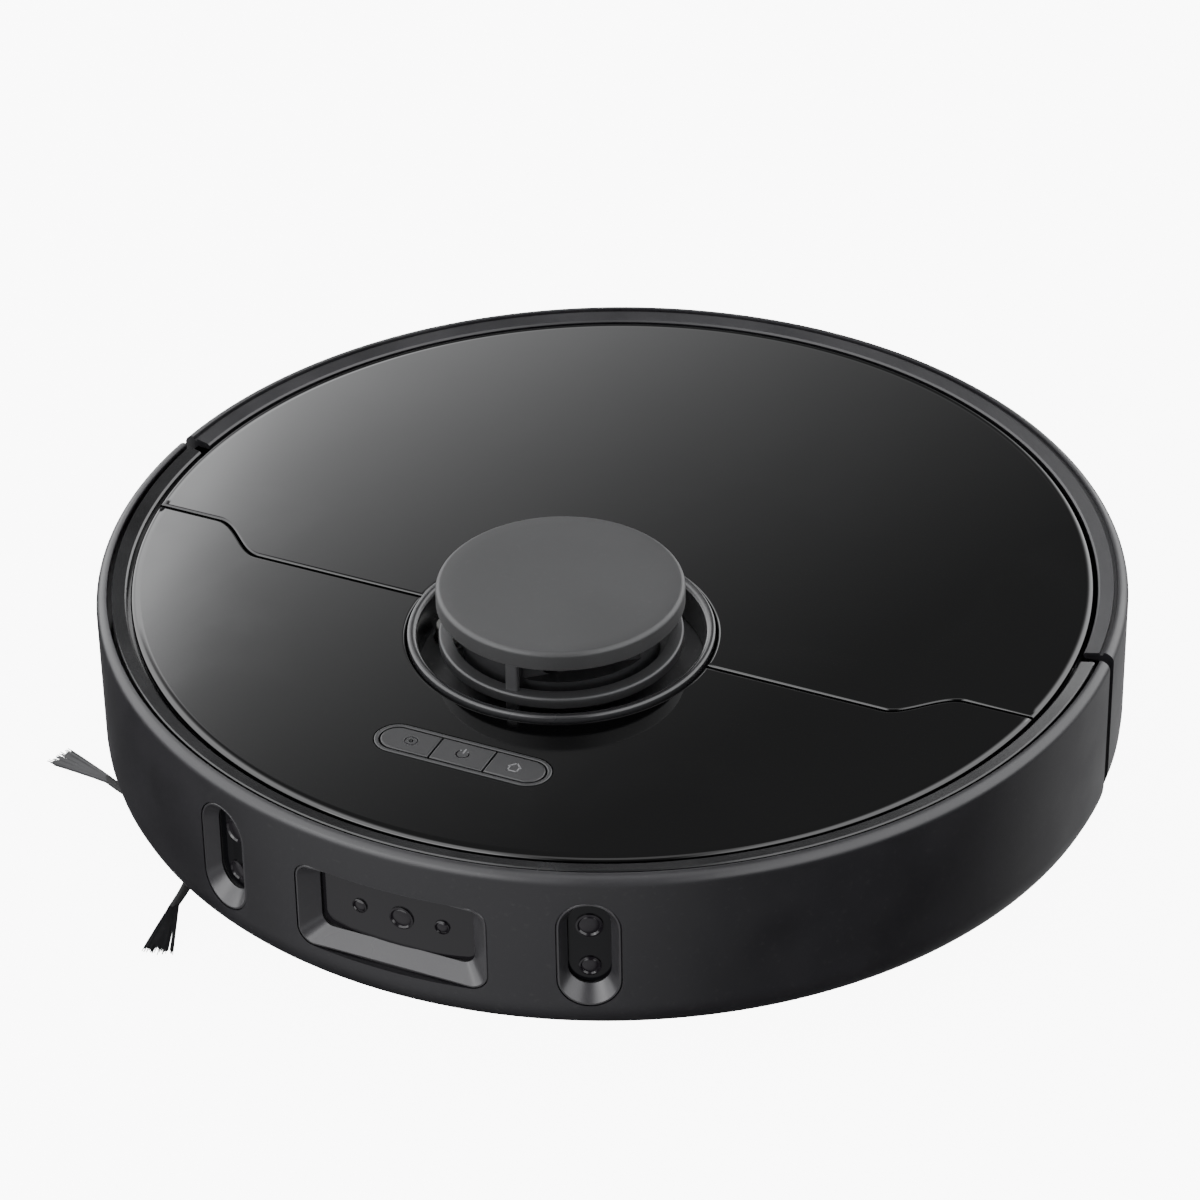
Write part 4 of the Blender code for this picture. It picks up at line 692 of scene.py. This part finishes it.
tools += [through_wall(oval, FRONT + side * OVAL_AT, CUT_IN, CUT_OUT) for side in (1, -1)]
bumper_wall = cut(lathe(outside + top_edge + inside, 256, FRONT - turn / 2, turn), *tools)
piece("bumper_wall", bumper_wall, SHELL, "bumper", ("bumper",))
report(1)


# %% Recessed frames and panes of the sensors
def frame_and_pane(name, angle, outer, inner, deep, paint, stands_for):
    """Bevelled frame from the outer outline at the wall to the inner one, with a pane behind it."""
    back = R - deep
    rings = ((outer, 0.0002, R - 0.0016), (outer, 0.0002, R - 0.0005), (outer, 0.0005, R - 0.0002),
             (outer, 0.0010, R - 0.0002), (inner, 0.0006, back + 0.0004), (inner, 0.0, back - 0.0004),
             (inner, 0.0, back - 0.0014), (inner, -0.0016, back - 0.0014))
    loops = [on_wall(outline(inset), angle, radius) for outline, inset, radius in rings]
    piece(f"{name}_frame", loft(loops, closed=True), LIGHTENED_FRAME, "bumper")
    past, behind, before = 0.0012, back - 0.0022, back - 0.0010
    wide = max(abs(u) for u, z in inner(0.0)) + past
    low, high = min(z for u, z in inner(0.0)) - past, max(z for u, z in inner(0.0)) + past
    half = math.degrees(math.asin(wide / back))
    pane = lathe([(behind, low), (before, low), (before, high), (behind, high)], 512, angle - half, 2 * half)
    return piece(f"{name}_pane", pane, paint, "bumper", (stands_for,))


def shrunk(width, height, radius, centre, steps=8):
    """Outline that takes an inset."""
    return lambda inset: rounded(width - 2 * inset, height - 2 * inset, max(0.0004, radius - inset), centre,
                                 steps)


frame_and_pane("front_window", FRONT, shrunk(2 * WINDOW_HALF, WINDOW_TALL, 0.006, (0, WINDOW_Z)),
               shrunk(2 * WINDOW_HALF - 0.0125, WINDOW_TALL - 0.0075, 0.0045, (0, WINDOW_Z + 0.0013)),
               0.0062, TINT, "front_window")
for side, label in ((1, "left"), (-1, "right")):
    oval_in = (OVAL_WIDE - 0.0060, OVAL_TALL - 0.0085, OVAL_WIDE / 2 - 0.003, (0, OVAL_Z + 0.0010), 12)
    frame_and_pane(f"laser_{label}", FRONT + side * OVAL_AT,
                   shrunk(OVAL_WIDE, OVAL_TALL, OVAL_WIDE / 2, (0, OVAL_Z), 12), shrunk(*oval_in),
                   0.0050, DARK, f"laser_window_{label}")
frame_and_pane("wall_sensor", WALL_AT, shrunk(WALL_WIDE, WALL_TALL, 0.004, (0, WALL_Z)),
               shrunk(WALL_WIDE - 0.004, WALL_TALL - 0.004, 0.003, (0, WALL_Z)),
               0.0026, DARK, "wall_sensor_window")
report(8)

# %% Lenses behind the panes
def lens(angle, aside, up, radius, at_radius):
    """A ringed round lens that looks out of the bumper."""
    bowl, floor_z = radius * 0.74, 0.0003
    profile = [(0, 0), (radius, 0), (radius, 0.0006), (radius * 0.86, 0.0008), (bowl, floor_z)]
    for t in (30, 60, 90):
        profile.append((bowl * math.cos(math.radians(t)), floor_z + 0.0004 * math.sin(math.radians(t))))
    shape = lathe(profile, 32)
    spot = spoke(angle) * math.sqrt(at_radius**2 - aside**2) + spoke(angle + 90) * aside + Vector((0, 0, up))
    matrix = facing((spot.x, spot.y, 0)).to_4x4()
    matrix.translation = spot
    shape.transform(matrix)
    return shape


WINDOW_LENS_R, LASER_LENS_R = R - 0.0073, R - 0.0061
window_lenses = [lens(FRONT, aside, 0.0475, radius, WINDOW_LENS_R)
                 for aside, radius in ((0.002, 0.0042), (0.016, 0.0026), (-0.013, 0.0026))]
piece("window_lenses", merged(*window_lenses), LENS, "bumper")
laser_lenses = [lens(FRONT + side * OVAL_AT, 0, up, radius, LASER_LENS_R)
                for side in (1, -1) for up, radius in ((0.0555, 0.0044), (0.0395, 0.0036))]
piece("laser_lenses", merged(*laser_lenses), LENS, "bumper")
report(2)

# %% Fixed shell round the back
low, foot = BOTTOM + 0.001, 0.1634
rear_outside = [(foot, low), (R - 0.0042, low), (R - 0.0015, low + 0.0038), (R - 0.0003, low + 0.0080),
                (R, low + 0.012)]
rear_inside = [(LIP, RIM), (LIP - 0.0002, RIM - 0.0012), (BAND_OUT + 0.0002, RIM - 0.0012),
               (BAND_OUT, RIM - 0.0004), (BAND_IN + 0.0006, RIM - 0.0012), (BAND_IN, RIM - 0.0018),
               (BAND_IN, RIM - 0.0034), (R - WALL - 0.003, RIM - 0.0034), (R - WALL, RIM - 0.0060),
               (R - WALL, low + 0.0125), (R - WALL - 0.0014, low + 0.0052), (R - WALL - 0.0032, low + 0.002),
               (foot, low + 0.002)]
turn = FULL - 2 * REAR_START
outlet = through_wall(rounded(OUTLET_WIDE, OUTLET_TALL, 0.004, (0, OUTLET_Z)), BACK, CUT_IN, CUT_OUT)
rear_wall = cut(lathe(rear_outside + top_edge + rear_inside, 256, FRONT + REAR_START, turn), outlet)
piece("rear_wall", rear_wall, SHELL, "chassis", ("rear_shell",))
inner_r = 0.1629
band = [(inner_r, RIM - 0.0078), (BAND_OUT, RIM - 0.0078), (BAND_OUT, RIM - 0.0008),
        (BAND_OUT - 0.0004, RIM - 0.0004), (BAND_IN + 0.0006, RIM - 0.0012), (BAND_IN, RIM - 0.0018),
        (BAND_IN, GLASS_LOW - 0.001), (inner_r, GLASS_LOW - 0.001)]
turn = 2 * (BUMPER_HALF - 0.3)
band_shape = lathe(band, 256, FRONT - turn / 2, turn)
piece("front_band", band_shape, BAND, "chassis", ("front_rim",))
report(2)

# %% Air outlet with its slats
SLATS, SLAT_STEP = 33, 0.80
outer, plate_half = R - WALL - 0.0004, 0.014
turn = math.degrees((OUTLET_WIDE + 0.008) / R)
plate = [(outer - 0.0018, OUTLET_Z - plate_half), (outer, OUTLET_Z - plate_half),
         (outer, OUTLET_Z + plate_half), (outer - 0.0018, OUTLET_Z + plate_half)]
hole = rounded(OUTLET_WIDE - 0.006, OUTLET_TALL - 0.003, 0.003, (0, OUTLET_Z))
grille = cut(lathe(plate, 512, BACK - turn / 2, turn), through_wall(hole, BACK, 0.155, 0.185))
piece("outlet_frame", grille, GREY, "chassis", ("outlet_grille",))
slat = soft_prism(lambda inset: rounded(0.0011 - 2 * inset, 0.0185 - 2 * inset, 0.0005, steps=2),
                  -0.0008, 0.0008, 0.0002, 2)
places = []
for i in range(SLATS):
    out = spoke(BACK + (i - SLATS // 2) * SLAT_STEP)
    places.append((out * (outer - 0.0010) + Vector((0, 0, OUTLET_Z)), facing(out)))
scatter("outlet_slats", slat, places, GREY, "chassis")
bar_in, bar_out, bar_half = outer - 0.0030, outer - 0.0019, 13.6
bars = []
for z in (OUTLET_Z - 0.0046, OUTLET_Z + 0.0034):
    section = [(bar_in, z), (bar_out, z), (bar_out, z + 0.0012), (bar_in, z + 0.0012)]
    bars.append(lathe(section, 256, BACK - bar_half, 2 * bar_half))
piece("outlet_bars", merged(*bars), GREY, "chassis")
report(3)

# %% [markdown]
# ## Glossy top
# Two panels meet in a seam that is straight beside the turret and steps back near the rim. Their edges
# are rounded, more at the rim than along the seam, and the top stays dead flat so that it mirrors well.

# %% Outline of a panel for any inset
SEAM_IN, SEAM_RIM, STEP_IN, STEP_OUT, SEAM_HALF = -0.040, -0.025, 0.115, 0.138, 0.0005
TURRET_Y, WELL_HOLE = -0.041, 0.0521
RIM_STEPS, SEAM_STEPS, WELL_STEPS = 150, 24, 70


def panel(back, inset):
    """Outline of the lid (back) or of the front glass; the seam edge takes a third of the inset."""
    rim_r, hole_r = GLASS_R - inset, WELL_HOLE + inset / 3
    shift = (SEAM_HALF + inset / 3) * (1 if back else -1)
    step = []
    for i in range(SEAM_STEPS + 1):
        share = i / SEAM_STEPS
        ease = share * share * (3 - 2 * share)
        step.append((STEP_OUT + (STEP_IN - STEP_OUT) * share, SEAM_RIM + (SEAM_IN - SEAM_RIM) * ease + shift))
    other = [(-x, y) for x, y in reversed(step)]
    lean = math.degrees(math.asin(step[0][1] / rim_r))
    tilt = math.degrees(math.asin((step[-1][1] - TURRET_Y) / hole_r))
    far = 180 if back else -180
    rim = arc(rim_r, far - lean, lean, RIM_STEPS)
    return rim + step + arc(hole_r, tilt, far - tilt, WELL_STEPS, (0, TURRET_Y)) + other


def glass_panel(back):
    """Panel whose edge rolls over: an upright side, a round nose, a soft shoulder, then the flat."""
    shape = ((0.0, 0.0022), (0.0, 0.0013), (0.0002, 0.0008), (0.0006, 0.00043), (0.0012, 0.0002),
             (0.0019, 0.00008), (0.0026, 0.00002), (0.0030, 0.0), (0.0034, 0.0))
    return loft([[(x, y, GLASS_HIGH - drop) for x, y in panel(back, inset)] for inset, drop in shape])


# %% Glass and lid
PILL_Y, PILL_LONG, PILL_WIDE = -0.117, 0.062, 0.0155


def pill(inset):
    """Outline of the bezel for any inset; a negative one gives the hole it sits in."""
    return rounded(PILL_LONG - 2 * inset, PILL_WIDE - 2 * inset, PILL_WIDE / 2 - inset, (0, PILL_Y), 14)


front_panel = cut(glass_panel(False), prism(pill(-0.0004), GLASS_LOW - 0.003, GLASS_HIGH + 0.003))
piece("front_glass_panel", front_panel, TOP_GLOSS, "chassis", ("front_glass",))
piece("lid_panel", glass_panel(True), TOP_GLOSS, "lid", ("lid",))
report(2)

# %% Buttons: bezel, three keys and their raised marks
bezel_loops = ((0.0, 0.0704), (0.0, 0.0770), (0.0003, 0.0772), (0.0011, 0.0772), (0.0014, 0.0770),
               (0.0014, 0.0704))
bezel = loft([[(x, y, z) for x, y in pill(inset)] for inset, z in bezel_loops], closed=True)
piece("pill_bezel", bezel, BEZEL, "chassis", ("button_bezel",))
end, radius = PILL_LONG / 2 - 0.0020, PILL_WIDE / 2 - 0.0020
split, key_low, key_high = end / 3, 0.0728, 0.0773


def key_shape(left, right):
    """Outline of a key for any inset: round where it meets the pill's end, square between keys."""
    def outline(inset):
        near, far, r = left + inset, right - inset, radius - inset
        right_end = [(far, PILL_Y - r), (far, PILL_Y + r)]
        left_end = [(near, PILL_Y + r), (near, PILL_Y - r)]
        if right >= end:
            right_end = arc(r, -90, 90, 16, (end - radius, PILL_Y))
        if left <= -end:
            left_end = arc(r, 90, 270, 16, (-end + radius, PILL_Y))
        return right_end + left_end
    return outline


KEY_GAP = 0.0003
spans = {"home": (split + KEY_GAP, end), "power": (-split + KEY_GAP, split - KEY_GAP),
         "spot": (-end, -split - KEY_GAP)}
for label, (left, right) in spans.items():
    key = soft_prism(key_shape(left, right), key_low, key_high, 0.0005)
    piece(f"{label}_key", key, KEYS, f"key_{label}", (f"key_{label}",))


def stroke(points, width=0.0005, closed=False):
    """A raised line of even width through the points, on top of a key."""
    shapes = []
    for a, b in zip(points, points[1:] + (points[:1] if closed else [])):
        a, b = Vector((*a, 0)), Vector((*b, 0))
        run = (b - a).normalized() * width / 2
        side = Vector((-run.y, run.x, 0))
        corners = [a - run + side, a - run - side, b + run - side, b + run + side]
        shapes.append(prism([(c.x, c.y) for c in corners], key_high - 0.0002, key_high + 0.00004))
    return shapes


def mark(label, x, *strokes):
    shape = shifted(merged(*[bar for bars in strokes for bar in bars]), x, PILL_Y)
    piece(f"{label}_mark", shape, ICON, f"key_{label}")


MARK_R, MARK_X = 0.0021, 0.0185
mark("home", MARK_X, stroke([(-MARK_R, 0.0002), (0, 0.0023), (MARK_R, 0.0002)]),
     stroke([(-0.0016, 0.0004), (-0.0016, -0.0020), (0.0016, -0.0020), (0.0016, 0.0004)]))
mark("power", 0.0, stroke(arc(MARK_R, 130, 410, 22)), stroke([(0, 0.0026), (0, 0.0006)]))
mark("spot", -MARK_X, stroke(arc(MARK_R, 0, 345, 23), closed=True),
     stroke(arc(0.0006, 0, 330, 11), closed=True))
report(7)

# %% [markdown]
# ## Laser turret
# A satin ring lines the well in the glass. Inside it a cage of three posts holds up the round cap, and
# between the two turns the dark laser head.

# %% Ring, cage and cap
HIGH, CAP_R, CAP_LOW, CAGE_R, CAGE_TOP = 0.0968, 0.0415, 0.0900, 0.0410, 0.0785
WELL_R, DECK_HIGH, CAP_THICK, CAP_TRAVEL = 0.0515, 0.0644, 0.0022, 0.0015
ring_top = RIM + 0.0008
ring = [(WELL_R - 0.0035, DECK_HIGH + 0.0004), (WELL_R, DECK_HIGH + 0.0004)]
ring += arc(0.0009, 0, 90, 6, (WELL_R - 0.0009, ring_top - 0.0009))
ring += arc(0.0020, 90, 165, 8, (WELL_R - 0.0014, ring_top - 0.0020))
ring += [(WELL_R - 0.0035, ring_top - 0.0044)]
ring_shape = shifted(lathe(ring, 192), y=TURRET_Y)
piece("turret_ring", ring_shape, RING, "chassis", ("well_ring",))
cage_in = CAGE_R - 0.0045
crown = CAP_R - 0.0027
base = [(cage_in, GLASS_LOW), (CAGE_R, GLASS_LOW)]
base += arc(0.0009, 0, 90, 5, (CAGE_R - 0.0009, CAGE_TOP - 0.0009)) + [(cage_in, CAGE_TOP)]
ceiling = HIGH - CAP_THICK - CAP_TRAVEL - 0.0004
hoop = [(cage_in - 0.0005, CAP_LOW + 0.0002), (crown, CAP_LOW + 0.0002), (crown, ceiling),
        (cage_in - 0.0005, ceiling)]
posts = []
for angle in (FRONT, 30, 150):
    outline = shrunk(0.0024, 0.0043, 0.0006, (CAGE_R - 0.0030, 0), 4)
    posts.append(turned(prism(outline(0), DECK_HIGH + 0.0004, CAP_LOW + 0.0010), angle))
cage = shifted(merged(lathe(base, 192), lathe(hoop, 192), *posts), y=TURRET_Y)
piece("turret_cage_ring", cage, CAGE, "chassis", ("turret_cage",))
skirt = CAP_R - 0.0022
cap = [(0, HIGH - CAP_THICK), (skirt, HIGH - CAP_THICK), (skirt, CAP_LOW), (CAP_R - 0.0003, CAP_LOW),
       (CAP_R, CAP_LOW + 0.0003)]
cap += arc(0.0017, 0, 90, 8, (CAP_R - 0.0017, HIGH - 0.0017)) + [(CAP_R - 0.0060, HIGH), (0, HIGH)]
piece("cap", shifted(lathe(cap, 192), y=TURRET_Y), CAP, "turret_cap", ("turret_cap",))
report(3)

# %% Laser head with its two lenses
HEAD_R, HEAD_TURN, EYES, EYE_R = 0.033, FRONT + 40, (-0.010, 0.009), 0.0040
belt_low = DECK_HIGH + 0.0018
low, high, groove, collar = belt_low - 0.001, belt_low + 0.0034, 0.028, 0.028 + 0.0012
top, hollow = CAP_LOW - 0.0020, CAGE_TOP + 0.0048
head = [(0.0075, low), (collar, low), (collar, belt_low - 0.0003), (groove, belt_low - 0.0003),
        (groove, belt_low + 0.0027), (collar, belt_low + 0.0027), (collar, high), (0.024, high),
        (0.024, high + 0.0016), (HEAD_R - 0.0005, high + 0.0016), (HEAD_R, high + 0.0021),
        (HEAD_R, top - 0.001), (HEAD_R - 0.001, top), (0, top), (0, hollow), (0.0075, hollow)]
middle = (CAGE_TOP + top) / 2 + 0.0005
face = block((0.026, -0.020, CAGE_TOP + 0.0012), (0.040, 0.020, top - 0.0012))
glass = [(0, 0), (EYE_R, 0), (EYE_R, 0.0015), (0.0030, 0.0026), (0.0015, 0.0031), (0, 0.0032)]
sockets, glasses = [], []
for y in EYES:
    bore = prism(arc(EYE_R + 0.0002, 0, 345, 23), 0.016, 0.040)
    sockets.append(shifted(turned(bore, 90, "Y"), 0, y, middle))
    glasses.append(shifted(turned(lathe(glass, 32), 90, "Y"), 0.0215, y, middle))
head_shape = shifted(turned(cut(cut(lathe(head, 128), face), *sockets), HEAD_TURN), y=TURRET_Y)
piece("laser_head", head_shape, LIDAR, "lidar_head", ("lidar_head",))
eye_shape = shifted(turned(merged(*glasses), HEAD_TURN), y=TURRET_Y)
piece("laser_head_lenses", eye_shape, LENS, "lidar_head")
report(2)

# %% [markdown]
# ## Running gear and brushes
# The tyres get chevron lugs, the side brush three curved arms that end in bristle tufts, and the main
# brush rows of bristles between its rubber blades.

# %% Tyres
WHEEL_X, WHEEL_R, WHEEL_WIDE, HUB_R = 0.124, 0.029, 0.022, 0.0235
TREAD, LUGS = 0.0018, 28
half_wide, tyre_in, tyre_out = WHEEL_WIDE / 2 - 0.0006, HUB_R + 0.0004, WHEEL_R - TREAD
shoulder = [(tyre_in, half_wide), (tyre_out - 0.0012, half_wide), (tyre_out - 0.0003, half_wide - 0.0006),
            (tyre_out, half_wide - 0.0018)]
tyre = [(r, -x) for r, x in shoulder] + shoulder[::-1]
axle_way = Vector((1, 0, 0))
for side, label in ((1, "left"), (-1, "right")):
    hub_at = Vector((side * WHEEL_X, 0, WHEEL_R))
    body = shifted(turned(lathe(tyre, 96), 90, "Y"), *hub_at)
    piece(f"tyre_{label}_body", body, RUBBER, f"wheel_{label}", (f"tyre_{label}",))
    for way in (1, -1):
        near, far = way * 0.0006, way * (half_wide - 0.0004)
        chevron = prism([(near, -0.0012), (far, 0.0020), (far, 0.0044), (near, 0.0012)], -0.0004, TREAD)
        places = []
        for i in range(LUGS):
            a = math.radians(FULL * (i + (0.5 if way < 0 else 0.0)) / LUGS)
            out = Vector((0, math.cos(a), math.sin(a)))
            turn = Matrix((axle_way, out.cross(axle_way), out)).transposed()
            places.append((hub_at + out * (tyre_out - 0.0001), turn))
        name = f"tyre_{label}_lugs_{'outer' if way * side > 0 else 'inner'}"
        scatter(name, chevron, places, RUBBER, f"wheel_{label}")
report(6)


# %% Side brush
BRUSH_AT, ARM_START, ARM_END = Vector((-0.110, -0.098, 0)), 0.0085, 0.046
hub = [(0, 0.0030), (0.0080, 0.0030), (0.0100, 0.0036), (0.0110, 0.0052), (0.0110, 0.0086), (0.003, 0.0086),
       (0.003, 0.0178), (0, 0.0178)]
dish = [(0, 0.0024), (0.0042, 0.0024), (0.0046, 0.0032), (0, 0.0032)]
hub_shape = shifted(merged(lathe(hub, 64), lathe(dish, 32)), *BRUSH_AT)
piece("side_brush_hub", hub_shape, GUARD, "side_brush", ("side_brush",))


def arm_path(share):
    """Height and sideways bend of an arm at a share of its length."""
    return 0.0053 - 0.0030 * share**1.4, 0.0030 * math.sin(math.pi * share)


def side_arm(angle):
    """Flexible rubber arm, thick at the hub and thin where the bristles start."""
    loops = []
    for i in range(15):
        share = i / 14
        z, bend = arm_path(share)
        x = ARM_START + (ARM_END - ARM_START) * share
        wide, tall = 0.0024 - 0.0008 * share, 0.0014 - 0.0004 * share
        ring = [math.radians(k * 36) for k in range(10)]
        loops.append([(x, bend + wide * math.cos(t), z + tall * math.sin(t)) for t in ring])
    return turned(loft(loops), angle)


ANGLES, TUFT = (165, 285, 45), 130
arms = shifted(merged(*[side_arm(angle) for angle in ANGLES]), *BRUSH_AT)
piece("side_brush_arms", arms, RUBBER, "side_brush")


def bristle(length, radius, droop):
    """One strand along Z that bends towards -Y; three sides and four steps."""
    loops = []
    for i in range(5):
        share = i / 4
        r, sag = radius * (1 - 0.35 * share), droop * share**2
        loops.append([(r * math.cos(t), r * math.sin(t) - sag, length * share) for t in (0, 2.094, 4.189)])
    return loft(loops)


rng = random.Random(7)
places = []
for angle in ANGLES:
    for _ in range(TUFT):
        fan = rng.uniform(-1, 1)
        rise = rng.uniform(-1, 1)
        z, bend = arm_path(0.94)
        start = Vector((0.0432 + rng.uniform(0, 0.0020), bend + fan * 0.0014, z + rise * 0.0006))
        aim_at = Vector((math.cos(fan * 0.16), math.sin(fan * 0.16), rise * 0.020 - 0.004))
        spin = Matrix.Rotation(math.radians(angle), 3, "Z")
        places.append((BRUSH_AT + spin @ start, spin @ facing(aim_at, (0, 0, 1))))
scatter("side_brush_bristles", bristle(0.0232, 0.00026, 0.0006), places, BRISTLE, "side_brush",
        twist=0.06, stretch=0.05, seed=4, angle=60)
report(3)

# %% Rows of bristles on the main brush
ROLLER = Vector((0, 0.030, 0.0225))
BARS, ROWS, IN_ROW, ROW_LONG = (-0.044, -0.0147, 0.0147, 0.044), 6, 120, 0.129
rng = random.Random(11)
places = []
for row in range(ROWS):
    for i in range(IN_ROW):
        x = -ROW_LONG / 2 + ROW_LONG * i / (IN_ROW - 1)
        if min(abs(x - bar) for bar in BARS) < 0.0038:
            continue
        a = 2 * math.pi * (row + 0.5) / ROWS + abs(x) * 20.0 + 0.10 + rng.uniform(-0.03, 0.03)
        out = Vector((0, math.cos(a), math.sin(a)))
        places.append((ROLLER + Vector((x, 0, 0)) + out * 0.0088, facing(out, (1, 0, 0))))
scatter("main_brush_bristles", bristle(0.0108, 0.00022, 0.0008), places, BRISTLE, "main_brush",
        twist=0.5, stretch=0.04, seed=9, angle=60)
report(1)

# %% [markdown]
# ## Fixings
# Cross-head screws hold the bottom plate and the deck, and ribs stiffen the deck below the lid.

# %% Screws below and on the deck
def screw_shape():
    profile = [(0, -0.0012), (0.0024, -0.0012), (0.0024, 0.0002), (0.0020, 0.0006), (0.0010, 0.0009),
               (0, 0.0010)]
    slots = ((0.0013, 0.0003), (0.0003, 0.0013))
    return cut(lathe(profile, 16), *[block((-x, -y, 0.0002), (x, y, 0.002)) for x, y in slots])


down, upright = facing((0, 0, -1), (0, 1, 0)), Matrix.Identity(3)
under = [(0.074, -0.112), (-0.066, -0.124), (0.148, -0.050), (-0.146, -0.056), (0.150, 0.052),
         (-0.150, 0.052), (0.092, 0.118), (-0.092, 0.118), (0.030, -0.078), (-0.030, -0.078), (0.0, 0.146),
         (0.060, -0.030), (-0.060, -0.030)]
deck_half = ((0.148, 0.020), (0.128, 0.090), (0.020, 0.145), (0.090, 0.012))
on_deck = [(side * x, y) for x, y in deck_half for side in (1, -1)]
sets = (("underside", under, 0.0090, down, 3), ("deck", on_deck, DECK_HIGH, upright, 5))
for name, spots, z, turn, seed in sets:
    scatter(f"{name}_screws", screw_shape(), [(Vector((x, y, z)), turn) for x, y in spots], SCREW, "chassis",
            twist=3.1, seed=seed)
rib = soft_prism(lambda inset: rounded(0.0012 - 2 * inset, 0.034 - 2 * inset, 0.0005, steps=2),
                 -0.0004, 0.0034, 0.0003, 2)
places = []
for side in (1, -1):
    for i in range(7):
        places.append((Vector((side * (0.098 + 0.009 * i), 0.040 - 0.0015 * i, DECK_HIGH)), upright))
scatter("deck_ribs", rib, places, DECK, "chassis")
report(3)
